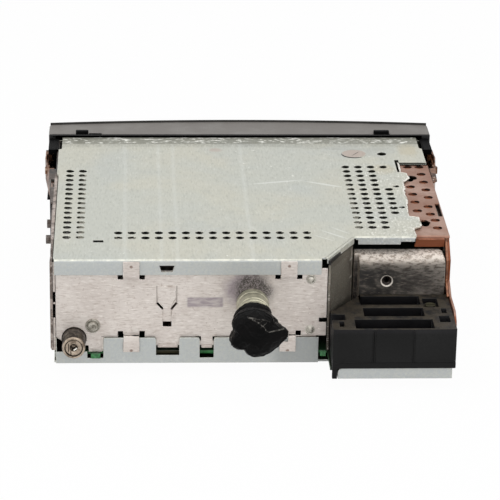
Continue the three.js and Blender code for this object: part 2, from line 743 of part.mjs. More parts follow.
function makeHousing() {
  const span = housingSpan();
  const outline = [
    [span.left, span.back], [span.right, span.back], [span.right, span.front],
    [recessRight + housingSlant.top, span.front], [recessLeft + housingSlant.bottom, housingSlant.back],
    [span.left, housingSlant.end],
  ];
  const stand = block({
    left: span.left, right: span.left + foot.wide, back: span.back, front: span.back + foot.deep,
    bottom: foot.lift, top: span.bottom + sheet,
  });
  const front = { back: span.back - ledge.out, front: span.back + sheet, bottom: span.bottom };
  const step = block({ ...front, left: span.left, right: span.right, top: span.bottom + ledge.high });
  const ribs = ribShares.map((share) => {
    const left = span.left + share * (span.right - span.left);
    return block({ ...front, left, right: left + ribWide, top: span.top });
  });
  const hollows = [...Object.values(chamberShares), ...pocketShares, padShares].map((shares) => block({
    ...sunk(shares), top: span.top + overrun,
  }));
  const pad = sunk(padShares);
  const hole = post(padCentre(), padScrew.shank + fit, pad.bottom - padScrew.long - fit, span.top);
  return cut(join(plate(outline, span.bottom, span.top), stand, step, ...ribs), ...hollows, hole);
}

function padCentre() {
  const pad = sunk(padShares);
  return [(pad.left + pad.right) / 2, (pad.back + pad.front) / 2];
}

function makeContactRow(shares) {
  const span = sunk(shares);
  const middle = (span.back + span.front) / 2;
  const bottom = span.bottom + fit;
  const row = [block({
    left: span.left + fit, right: span.right - fit, back: middle - contact.baseDeep / 2,
    front: middle + contact.baseDeep / 2, bottom, top: bottom + contact.base,
  })];
  const count = Math.floor((span.right - span.left) / contact.pitch);
  for (let i = 0; i < count; i += 1) {
    const centre = (span.left + span.right) / 2 + (i - (count - 1) / 2) * contact.pitch;
    row.push(block({
      left: centre - contact.wide / 2, right: centre + contact.wide / 2, back: middle - contact.deep / 2,
      front: middle + contact.deep / 2, bottom, top: bottom + contact.high,
    }));
  }
  return join(...row);
}

function makePanelScrew() {
  const [left, height] = panelScrew.at;
  const headBack = -fit - panelScrew.high;
  const head = rod(panelScrew.at, panelScrew.head, headBack, -fit);
  const shank = rod(panelScrew.at, panelScrew.shank, -fit * 2, panelScrew.long, smallSides);
  const width = panelScrew.slot / 2;
  const reach = panelScrew.head / 2;
  const depth = { back: headBack - overrun, front: headBack + panelScrew.high / 2 };
  const level = block({
    ...depth, left: left - reach, right: left + reach, bottom: height - width, top: height + width,
  });
  const plumb = block({
    ...depth, left: left - width, right: left + width, bottom: height - reach, top: height + reach,
  });
  return cut(join(head, shank), level, plumb);
}

function makePadScrew() {
  const [left, forward] = padCentre();
  const bottom = sunk(padShares).bottom + fit;
  const top = bottom + padScrew.high;
  const head = post([left, forward], padScrew.head, bottom, top, roundSides);
  const shank = post([left, forward], padScrew.shank, bottom - padScrew.long, bottom + fit);
  const groove = block({
    left: left - padScrew.head, right: left + padScrew.head, back: forward - padScrew.slot / 2,
    front: forward + padScrew.slot / 2, bottom: top - padScrew.high / 2, top: top + overrun,
  });
  return cut(join(head, shank), groove);
}

function makeRivet(at) {
  const head = rod(at, rivet.head / 2, -fit - rivet.high, -fit, smallSides, rivet.head);
  return join(head, rod(at, rivet.shank, -fit * 2, rivet.long, ventSides));
}

function makeAerialShell() {
  const tube = rod(aerial.at, aerial.outer, aerial.back, aerial.front);
  const collar = rod(aerial.at, aerial.collar, sheet + fit, sheet + fit + aerial.collarDeep);
  return cut(join(tube, collar), rod(aerial.at, aerial.bore, aerial.back - overrun, aerial.front + overrun));
}

function makeAerialInsulator() {
  const plug = rod(aerial.at, aerialPlug.radius, aerialPlug.back, aerialPlug.front);
  return cut(plug, rod(aerial.at, aerialPlug.bore, aerialPlug.back - overrun, aerialPlug.front + overrun));
}

function makeAerialContact() {
  const pin = rod(aerial.at, aerialPin.radius, aerialPin.back, aerialPin.front, smallSides);
  const mouth = aerialPin.back + aerialPin.boreDeep;
  return cut(pin, rod(aerial.at, aerialPin.bore, aerialPin.back - overrun, mouth, smallSides));
}

function makeStud() {
  const body = rod(stud.at, stud.radius, -stud.long, -fit);
  const rim = rod(stud.at, stud.rim, -fit - stud.rimDeep, -fit);
  return join(body, rim, rod(stud.at, stud.stem, -fit * 2, stud.stemFront, smallSides));
}

// A lathed sleeve, closed over the stud's end, whose outside is then pushed into swellings
function makeTape() {
  const last = tapeRings[tapeRings.length - 1];
  const floor = -stud.long - fit;
  const profile = [[tapeInner, tapeRings[0][1]], ...tapeRings, [0, last[1]], [0, floor], [tapeInner, floor]];
  profile.push(profile[0]);
  const points = profile.map(([radius, forward]) => new THREE.Vector2(radius, -forward));
  const geometry = new THREE.LatheGeometry(points, tapeSides);
  const place = geometry.attributes.position;
  for (let i = 0; i < place.count; i += 1) {
    const x = place.getX(i);
    const z = place.getZ(i);
    const radius = Math.hypot(x, z);
    if (radius > tapeInner + sheet) {
      const grown = radius + swelling(Math.atan2(z, -x), -place.getY(i));
      place.setX(i, x * grown / radius);
      place.setZ(i, z * grown / radius);
    }
  }
  geometry.translate(across(stud.at[0]), 0, stud.at[1]);
  return toManifold(geometry);
}

function swelling(turn, forward) {
  const first = tapeRings[0][1];
  const place = (forward - first) / (tapeRings[tapeRings.length - 1][1] - first);
  let grown = 0;
  for (const { turn: peak, wide, share, spread, size } of tapeSwells) {
    const apart = THREE.MathUtils.euclideanModulo(turn * 180 / Math.PI - peak + 180, 360) - 180;
    grown += size * Math.exp(-((apart / wide) ** 2)) * Math.exp(-(((place - share) / spread) ** 2));
  }
  return grown;
}

function makeBoard() {
  const front = boardFront;
  const legLeft = recessLeft + boardLegInset;
  const legBack = -trayBack + wallThick + fit * 2;
  const left = lining + boardInset;
  const outline = [
    [left, boardInset], [legLeft, boardInset], [legLeft, legBack], [insideRight - fit, legBack],
    [insideRight - fit, front], [left, front],
  ];
  return plate(outline, boardLift, boardLift + boardThick);
}

function makeTunerBox() {
  const span = { left: tuner.left, right: tuner.right, back: tuner.back, front: tuner.front };
  const inset = (by) => ({
    left: span.left + by, right: span.right - by, back: span.back + by, front: span.front - by,
  });
  const top = onBoard + tuner.high;
  const lid = block({ ...inset(tuner.lidInset), bottom: top - sheet / 2, top: top + tuner.lid });
  const hollow = block({ ...inset(sheet), bottom: onBoard - overrun, top: top - sheet });
  return cut(join(block({ ...span, bottom: onBoard, top }), lid), hollow);
}

function makeCapacitor({ left, forward, radius, high }) {
  return post([left, forward], radius, onBoard, onBoard + high, roundSides);
}

function makeChoke() {
  const geometry = new THREE.TorusGeometry(choke.ring, choke.wire, chokeSides, chokeSteps);
  geometry.translate(across(choke.left), -choke.forward, onBoard + choke.wire);
  return toManifold(geometry);
}

function makeControl(left) {
  const at = [left, knobHeight];
  const front = frameFront - sheet - fit;
  const body = block({
    left: left - control.half, right: left + control.half, back: front - control.deep, front,
    bottom: knobHeight - control.half, top: knobHeight + control.half,
  });
  const nose = rod(at, control.nose, front - sheet, front + control.noseLong);
  const boreBack = knobBack() + shaftReach() - shaft.long - fit;
  const bore = rod(at, control.bore, boreBack, front + control.noseLong + overrun);
  return cut(join(body, nose), bore);
}

function frontFace(left) {
  const share = (left - fasciaCentre) / fasciaHalf;
  return fasciaFront - fasciaBow * share * share;
}

// The fascia seen from above, drawn in by an inset
function fasciaPlan(inset, back) {
  const right = fasciaCentre + fasciaHalf - inset;
  const left = fasciaCentre - fasciaHalf + inset;
  const cornerFront = frontFace(fasciaCentre - fasciaHalf) - fasciaCorner - inset;
  const reach = fasciaHalf - Math.max(inset, fasciaCorner);
  const points = [[right, back], [left, back], [left, cornerFront]];
  for (let i = 0; i <= fasciaSteps; i += 1) {
    const place = fasciaCentre - reach + reach * 2 * i / fasciaSteps;
    points.push([place, frontFace(place) - inset]);
  }
  points.push([right, cornerFront]);
  return points;
}

function makeFascia() {
  const outer = plate(fasciaPlan(0, fasciaBack), fasciaBottom, fasciaTop);
  const cavity = plate(fasciaPlan(fasciaWall, cavityBack), fasciaBottom + fasciaRim, fasciaTop - fasciaRim);
  const pocket = block({
    left: -fit, right: caseWidth + fit, back: fasciaBack - overrun, front: cavityBack + fit,
    bottom: -fit, top: caseHeight + fit,
  });
  const far = fasciaFront + overrun;
  const near = fasciaFront - fasciaWall - fasciaBow - overrun;
  const openings = [block({
    left: fasciaCentre - dialHalf, right: fasciaCentre + dialHalf, back: near, front: far,
    bottom: dialBottom, top: dialTop,
  })];
  for (const left of Object.values(knobLefts)) {
    openings.push(rod([left, knobHeight], ring.sleeve + fit, near, far));
  }
  for (const { centre, half: reach } of buttonPlaces()) {
    openings.push(block({
      left: centre - reach - fit, right: centre + reach + fit, back: near, front: far,
      bottom: buttonBottom - fit, top: buttonBottom + buttonHigh + fit,
    }));
  }
  for (const side of [-1, 1]) {
    for (const height of [keyHoles.low, keyHoles.high]) {
      const left = fasciaCentre + side * (fasciaHalf - keyHoles.inset);
      openings.push(rod([left, height], keyHoles.radius, fasciaBack - overrun, far, smallSides));
    }
  }
  const posts = [-1, 1].map((side) => {
    const left = fasciaCentre + side * (frontBoard.half - boardPost.inset);
    const at = [left, boardPost.height];
    return rod(at, boardPost.radius, frontBoardFront() + fit, frontFace(left) - sheet, smallSides);
  });
  const lugs = [-rail.half, rail.half - lug.wide].map((offset) => {
    const left = fasciaCentre + offset;
    return block({
      left, right: left + lug.wide, back: railForward() - lug.half, front: frontFace(left) - sheet,
      bottom: rail.height - lug.half, top: rail.height + lug.half,
    });
  });
  const reach = rail.half + overrun;
  const bearing = crossRod(
    railForward(), rail.height, rail.radius + fit, fasciaCentre - reach, fasciaCentre + reach,
  );
  return cut(join(cut(outer, cavity, pocket, ...openings), ...posts, ...lugs), bearing);
}

function frontBoardFront() {
  return cavityBack + frontBoard.setback + boardThick;
}

function railForward() {
  return fasciaFront - rail.setback;
}

function makeFrontBoard() {
  return block({
    left: fasciaCentre - frontBoard.half, right: fasciaCentre + frontBoard.half,
    back: frontBoardFront() - boardThick, front: frontBoardFront(),
    bottom: frontBoard.bottom, top: frontBoard.top,
  });
}

function makeFasciaClip({ wide, hook }, left) {
  const foot = block({
    left, right: left + wide, back: fasciaBack - fit - clipDeep, front: fasciaBack - fit,
    bottom: caseHeight + fit, top: fasciaTop + fit * 2,
  });
  const top = fasciaTop + clipHigh;
  const raised = block({
    left, right: left + hook, back: fasciaBack - clipDeep, front: fasciaBack, bottom: fasciaTop, top,
  });
  const over = block({
    left, right: left + hook, back: fasciaBack - fit * 2, front: fasciaBack + clipHookDeep,
    bottom: fasciaTop + fit, top,
  });
  const clear = block({
    left: left - overrun, right: left + wide + overrun, back: fasciaBack - fit,
    front: fasciaBack + clipHookDeep + overrun, bottom: caseHeight, top: fasciaTop + fit,
  });
  return cut(join(foot, raised, over), clear);
}

function makeDialWindow() {
  const back = fasciaFront - dialWindow.setback;
  return block({
    left: fasciaCentre - dialHalf + fit, right: fasciaCentre + dialHalf - fit, back,
    front: back + dialWindow.thick, bottom: dialBottom + fit, top: dialTop - fit,
  });
}

function makeDialScale() {
  const front = railForward() - pointer.deep - fit;
  return block({
    left: fasciaCentre - dialHalf - dialScale.margin, right: fasciaCentre + dialHalf + dialScale.margin,
    back: front - dialScale.thick, front,
    bottom: dialBottom - dialScale.margin, top: fasciaTop - fasciaRim - fit,
  });
}

function makeRail() {
  const reach = rail.half - fit;
  return crossRod(railForward(), rail.height, rail.radius, fasciaCentre - reach, fasciaCentre + reach);
}

function makePointer() {
  const forward = railForward();
  const slider = block({
    left: fasciaCentre - pointer.half, right: fasciaCentre + pointer.half, back: forward - pointer.deep,
    front: forward + pointer.deep, bottom: rail.height - pointer.deep, top: rail.height + pointer.deep,
  });
  const needle = block({
    left: fasciaCentre - pointer.needle, right: fasciaCentre + pointer.needle,
    back: forward - pointer.deep + fit, front: forward - pointer.deep + fit + pointer.thick,
    bottom: rail.height + rail.radius + fit * 2, top: pointer.top,
  });
  const reach = pointer.half + overrun;
  const bore = crossRod(forward, rail.height, rail.radius + fit, fasciaCentre - reach, fasciaCentre + reach);
  return cut(join(slider, needle), bore);
}

function ringBack() {
  return frontFace(knobLefts.tuning) + ring.lift;
}

function knobBack() {
  return ringBack() + ring.deep + fit;
}

// How far the shaft reaches into its knob
function shaftReach() {
  return knob.deep - knob.cap - fit;
}

function makeKnob(left) {
  const at = [left, knobHeight];
  const back = knobBack();
  const front = back + knob.deep;
  const body = rod(at, knob.radius, back, front - knob.edge);
  const nose = rod(at, knob.radius, front - knob.edge, front, roundSides, knob.radius - knob.edge);
  return cut(join(body, nose), rod(at, shaft.radius + fit, back - overrun, front - knob.cap));
}

function makeShaft(left) {
  const front = knobBack() + shaftReach();
  return rod([left, knobHeight], shaft.radius, front - shaft.long, front);
}

function makeRing(left) {
  const at = [left, knobHeight];
  const back = ringBack();
  const disc = rod(at, ring.outer, back, back + ring.deep);
  const sleeve = rod(at, ring.sleeve, back - ring.sleeveDeep, back + sheet);
  const bore = rod(at, ring.inner, back - ring.sleeveDeep - overrun, back + ring.deep + overrun);
  return cut(join(disc, sleeve), bore);
}

function buttonPlaces() {
  return buttonGroups.flatMap(({ name, count, half: reach, pitch, first }) => {
    const places = [];
    for (let i = 0; i < count; i += 1) {
      places.push({ name: `${name}_${i + 1}`, centre: fasciaCentre + first - i * pitch, half: reach });
    }
    return places;
  });
}

function makeButton({ centre, half: wide }) {
  const middle = buttonBottom + buttonHigh / 2;
  const reach = wide + button.flange;
  const flangeFront = Math.min(frontFace(centre - reach), frontFace(centre + reach)) - fasciaWall - fit;
  const flangeBack = flangeFront - button.flangeDeep;
  const cap = block({
    left: centre - wide, right: centre + wide,
    back: flangeFront - fit, front: frontFace(centre) + button.proud,
    bottom: buttonBottom, top: buttonBottom + buttonHigh,
  });
  const flange = block({
    left: centre - reach, right: centre + reach, back: flangeBack, front: flangeFront,
    bottom: buttonBottom - button.flange, top: buttonBottom + buttonHigh + button.flange,
  });
  const stem = block({
    left: centre - button.stem, right: centre + button.stem, back: fasciaFront - fasciaWall - button.stemLong,
    front: flangeBack + fit, bottom: middle - button.stem, top: middle + button.stem,
  });
  return join(cap, flange, stem);
}

function onLeaf([outShare, forwardShare]) {
  return [-outShare * leaf.out, leaf.back + forwardShare * leaf.long];
}

// The clip is drawn for the left wall; the right one is its mirror image
function makeSideClip(mirrored) {
  const inside = leafShares.map(onLeaf);
  const outside = inside.map(([left, forward]) => [left - leaf.thick, forward]).reverse();
  const high = leaf.top - leaf.bottom;
  const slitBottom = leaf.bottom + leafSlit.share * high;
  const slit = block({
    left: -leaf.out - overrun, right: overrun, back: leafSlit.back, front: leaf.back + leaf.long + overrun,
    bottom: slitBottom, top: slitBottom + leafSlit.wide,
  });
  const barbRoot = inside[2][0] - leaf.thick;
  const tooth = plate(
    [
      [barbRoot, barb.back], [-barb.out, barb.back], [-barb.out, barb.back + barb.slope],
      [-leaf.out + leaf.thick, barb.front], [barbRoot, barb.front],
    ],
    leaf.top - shelfThick - barb.share * high, leaf.top - shelfThick,
  );
  const shelf = plate(shelfShares.map(onLeaf), leaf.top - shelfThick, leaf.top);
  const solid = join(cut(plate([...inside, ...outside], leaf.bottom, leaf.top), slit), shelf, tooth);
  return mirrored ? solid.mirror([1, 0, 0]) : solid;
}

const looks = {
  zinc: { color: 0xb9bbb2, roughness: 0.5, metalness: 0.8 },
  tin: { color: 0xc6bdb6, roughness: 0.45, metalness: 0.8 },
  copper: { color: 0xa9826f, roughness: 0.5, metalness: 0.8 },
  bronze: { color: 0x8a6244, roughness: 0.5, metalness: 0.7 },
  aluminium: { color: 0xb5b5b5, roughness: 0.4, metalness: 0.8 },
  plating: { color: 0xc9c3ae, roughness: 0.35, metalness: 0.9 },
  brass: { color: 0xb59a5a, roughness: 0.35, metalness: 0.9 },
  black: { color: 0x232122, roughness: 0.6, metalness: 0 },
  grey: { color: 0x6f6c6a, roughness: 0.6, metalness: 0 },
  tape: { color: 0x18181a, roughness: 0.7, metalness: 0 },
  white: { color: 0xd8d5c8, roughness: 0.6, metalness: 0 },
  board: { color: 0x3f7a45, roughness: 0.6, metalness: 0 },
  clear: { color: 0xbfc8cc, roughness: 0.1, metalness: 0 },
  red: { color: 0xc0392b, roughness: 0.5, metalness: 0 },
};

const radio = new THREE.Group();
radio.name = 'car_radio';

function add(name, solid, look) {
  const mesh = new THREE.Mesh(toGeometry(solid), new THREE.MeshStandardMaterial(looks[look]));
  mesh.name = name;
  radio.add(mesh);
}

add('top_cover', makeTopCover(), 'zinc');
add('bottom_cover', makeBottomCover(), 'zinc');
add('rear_panel', makeRearPanel(), 'tin');
add('left_side_wall', makeLeftWall(), 'tin');
add('right_side_wall', makeRightWall(), 'tin');
add('front_frame', makeFrontFrame(), 'zinc');
add('recess_wall', makeRecessWall(), 'tin');
add('heat_sink', makeHeatSink(), 'aluminium');
add('amplifier_chip', makeChip(), 'black');
add('copper_heat_spreader', makeCopperSpreader(), 'copper');
add('connector_housing', makeHousing(), 'black');
for (const [name, shares] of Object.entries(chamberShares)) {
  add(`${name}_contact_row`, makeContactRow(shares), 'plating');
}
add('connector_screw', makePadScrew(), 'plating');
add('rear_panel_screw', makePanelScrew(), 'plating');
rivetPlaces().forEach((at, i) => add(`panel_rivet_${i + 1}`, makeRivet(at), 'plating'));
add('aerial_socket_shell', makeAerialShell(), 'plating');
add('aerial_socket_insulator', makeAerialInsulator(), 'white');
add('aerial_socket_contact', makeAerialContact(), 'brass');
add('rear_support_stud', makeStud(), 'plating');
add('stud_tape', makeTape(), 'tape');
add('main_circuit_board', makeBoard(), 'board');
add('tuner_box', makeTunerBox(), 'tin');
add('large_capacitor', makeCapacitor(largeCapacitor), 'black');
add('small_capacitor', makeCapacitor(smallCapacitor), 'black');
add('choke_coil', makeChoke(), 'bronze');
for (const [name, left] of Object.entries(knobLefts)) {
  add(`${name}_control`, makeControl(left), 'plating');
  add(`${name}_shaft`, makeShaft(left), 'plating');
  add(`${name}_knob`, makeKnob(left), 'black');
}
add('balance_ring', makeRing(knobLefts.volume), 'black');
add('tone_ring', makeRing(knobLefts.tuning), 'black');
add('front_circuit_board', makeFrontBoard(), 'board');
add('front_fascia', makeFascia(), 'grey');
const leftClipPlace = fasciaCentre - fasciaHalf + leftClip.inset;
const rightClipPlace = fasciaCentre + fasciaHalf - rightClip.inset - rightClip.wide;
add('left_fascia_clip', makeFasciaClip(leftClip, leftClipPlace), 'black');
add('right_fascia_clip', makeFasciaClip(rightClip, rightClipPlace), 'black');
add('dial_window', makeDialWindow(), 'clear');
add('dial_scale', makeDialScale(), 'white');
add('pointer_rail', makeRail(), 'plating');
add('dial_pointer', makePointer(), 'red');
for (const place of buttonPlaces()) add(place.name, makeButton(place), 'black');
add('left_side_clip', makeSideClip(false), 'bronze');
add('right_side_clip', makeSideClip(true), 'bronze');

// Stand the radio on its lowest point, centred
const bounds = new THREE.Box3().setFromObject(radio);
const centre = bounds.getCenter(new THREE.Vector3());
for (const mesh of radio.children) mesh.geometry.translate(-centre.x, -centre.y, -bounds.min.z);

export default radio;
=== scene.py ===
# %% [markdown]
# # Dressing a slide-in car radio
# The radio is a folded sheet-metal case with a moulded front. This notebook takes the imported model
# as a fixed frame, gives every part a finish, and replaces the parts whose edges or surfaces need
# more than the frame has. All lengths are metres unless a helper says that it takes millimetres.

# %% Load the frame
import json
import math

import bmesh
import bpy
from mathutils import Matrix, Vector, noise


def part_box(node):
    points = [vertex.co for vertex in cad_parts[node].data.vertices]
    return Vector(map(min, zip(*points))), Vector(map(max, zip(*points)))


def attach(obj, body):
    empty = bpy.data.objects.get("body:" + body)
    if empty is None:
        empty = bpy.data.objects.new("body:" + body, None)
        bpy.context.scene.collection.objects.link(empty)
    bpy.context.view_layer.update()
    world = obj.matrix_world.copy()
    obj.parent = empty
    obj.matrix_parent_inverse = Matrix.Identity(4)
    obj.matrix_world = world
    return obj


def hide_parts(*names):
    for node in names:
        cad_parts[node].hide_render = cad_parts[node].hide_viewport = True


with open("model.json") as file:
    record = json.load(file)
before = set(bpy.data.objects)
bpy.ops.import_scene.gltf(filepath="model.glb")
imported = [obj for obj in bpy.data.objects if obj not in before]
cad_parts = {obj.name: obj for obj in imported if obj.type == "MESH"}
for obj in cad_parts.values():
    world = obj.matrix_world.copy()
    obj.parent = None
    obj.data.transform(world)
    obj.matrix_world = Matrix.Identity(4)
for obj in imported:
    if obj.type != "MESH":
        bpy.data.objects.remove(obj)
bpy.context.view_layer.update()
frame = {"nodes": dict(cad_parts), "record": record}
nodes = frame["nodes"]
record = frame["record"]
slot_of = {part["node"]: part["material_slot"] for part in record["subparts"]}
body_of = {node: body for body, held in record["behaviour"]["bodies"].items() for node in held}
MM = 0.001

# %% [markdown]
# ## The camera
# The radio is seen from behind and above through a long lens, as a catalogue picture would be taken
# from well back. A long lens keeps the far edge almost as wide as the near one. The camera is set
# from its place, a turn, a tilt and a slight roll.

# %% Place the camera
CAMERA_PLACE = Vector((0.05564, 1.10399, 0.47612))
CAMERA_YAW = 0.0522
CAMERA_PITCH = -0.3861
CAMERA_ROLL = 0.0179
CAMERA_LENS = 183.79


def add_camera():
    camera = bpy.data.objects.new("camera", bpy.data.cameras.new("camera"))
    camera.data.lens = CAMERA_LENS
    camera.data.sensor_width = 36
    camera.data.clip_start = 0.05
    forward = Vector((
        -math.sin(CAMERA_YAW) * math.cos(CAMERA_PITCH),
        -math.cos(CAMERA_YAW) * math.cos(CAMERA_PITCH),
        math.sin(CAMERA_PITCH),
    ))
    level = Vector((-math.cos(CAMERA_YAW), math.sin(CAMERA_YAW), 0))
    upright = level.cross(forward)
    right = level * math.cos(CAMERA_ROLL) + upright * math.sin(CAMERA_ROLL)
    up = upright * math.cos(CAMERA_ROLL) - level * math.sin(CAMERA_ROLL)
    turned = Matrix((right, up, -forward)).transposed().to_4x4()
    camera.matrix_world = Matrix.Translation(CAMERA_PLACE) @ turned
    bpy.context.collection.objects.link(camera)
    bpy.context.scene.camera = camera
    return camera


camera = add_camera()
print("camera", [round(value, 3) for value in camera.location])

# %% [markdown]
# ## Studio and light
# Sheet metal shows what it mirrors, so the light comes from large soft panels: one overhead, a
# weaker one on the viewer's side and a low one at the left. The floor and the backdrop are white to
# the camera and to reflections, and a share of plain white paint in the floor keeps a faint shadow
# under the case.

# %% Build the studio
SKY_STRENGTH = 0.38
FLOOR_WHITE_SHARE = 0.97


def add_softbox(name, place, aim, size, power):
    lamp = bpy.data.lights.new(name, "AREA")
    lamp.shape = "RECTANGLE"
    lamp.size, lamp.size_y = size
    lamp.energy = power
    holder = bpy.data.objects.new(name, lamp)
    holder.location = place
    holder.rotation_euler = (Vector(aim) - Vector(place)).to_track_quat("-Z", "Y").to_euler()
    bpy.context.collection.objects.link(holder)
    return holder


def seen_rays(tree):
    """Is 1 for camera, mirror and glass rays, and 0 for the rays that carry light between surfaces."""
    rays = tree.nodes.new("ShaderNodeLightPath")
    seen = rays.outputs["Is Camera Ray"]
    for kind in ("Is Glossy Ray", "Is Transmission Ray"):
        either = tree.nodes.new("ShaderNodeMath")
        either.operation = "MAXIMUM"
        tree.links.new(seen, either.inputs[0])
        tree.links.new(rays.outputs[kind], either.inputs[1])
        seen = either.outputs[0]
    return seen


def white_to_eye(tree, surface, share):
    """Adds plain white for camera, mirror and glass rays in front of a surface."""
    weight = tree.nodes.new("ShaderNodeMath")
    weight.operation = "MULTIPLY"
    weight.inputs[1].default_value = share
    glow = tree.nodes.new("ShaderNodeEmission")
    blend = tree.nodes.new("ShaderNodeMixShader")
    tree.links.new(seen_rays(tree), weight.inputs[0])
    tree.links.new(weight.outputs[0], blend.inputs[0])
    tree.links.new(surface, blend.inputs[1])
    tree.links.new(glow.outputs[0], blend.inputs[2])
    return blend.outputs[0]


def add_studio():
    material = bpy.data.materials.new("white floor")
    material.use_nodes = True
    tree = material.node_tree
    paint = tree.nodes["Principled BSDF"]
    paint.inputs["Base Color"].default_value = (0.9, 0.9, 0.9, 1)
    paint.inputs["Roughness"].default_value = 0.9
    out = white_to_eye(tree, paint.outputs[0], FLOOR_WHITE_SHARE)
    tree.links.new(out, tree.nodes["Material Output"].inputs["Surface"])
    form = bmesh.new()
    bmesh.ops.create_grid(form, x_segments=1, y_segments=1, size=3)
    mesh = bpy.data.meshes.new("studio floor")
    form.to_mesh(mesh)
    form.free()
    floor = bpy.data.objects.new("studio_floor", mesh)
    floor.data.materials.append(material)
    bpy.context.collection.objects.link(floor)
    world = bpy.data.worlds.new("studio")
    bpy.context.scene.world = world
    world.use_nodes = True
    sky = world.node_tree.nodes["Background"]
    sky.inputs["Color"].default_value = (1, 1, 1, 1)
    level = world.node_tree.nodes.new("ShaderNodeMapRange")
    level.inputs["To Min"].default_value = SKY_STRENGTH
    level.inputs["To Max"].default_value = 1
    world.node_tree.links.new(seen_rays(world.node_tree), level.inputs["Value"])
    world.node_tree.links.new(level.outputs["Result"], sky.inputs["Strength"])
    bpy.context.scene.view_settings.view_transform = "Standard"


add_studio()
add_softbox("overhead panel", (0.1, 0.15, 1.1), (0, 0, 0), (1.6, 1.2), 8)
add_softbox("viewer panel", (-0.35, 1.3, 0.5), (0, 0, 0.02), (1.6, 1), 6)
add_softbox("left panel", (0.9, 0.5, 0.35), (0, 0, 0.02), (0.9, 0.9), 2)

# %% [markdown]
# ## Mixing finishes
# A finish is one Principled shader whose colour, roughness and bump come from a few noise patterns.
# The helpers below add one pattern or one layer of colour at a time, so that each finish reads as a
# short recipe: the clean metal first, then what years of storage put on it.

# %% Helpers for finishes
def paint(code):
    """Turns a colour as written on screen, such as c8c9c0, into the linear values that shaders take."""
    parts = [int(code[place:place + 2], 16) / 255 for place in (0, 2, 4)]
    linear = [part / 12.92 if part <= 0.04045 else ((part + 0.055) / 1.055) ** 2.4 for part in parts]
    return (*linear, 1)


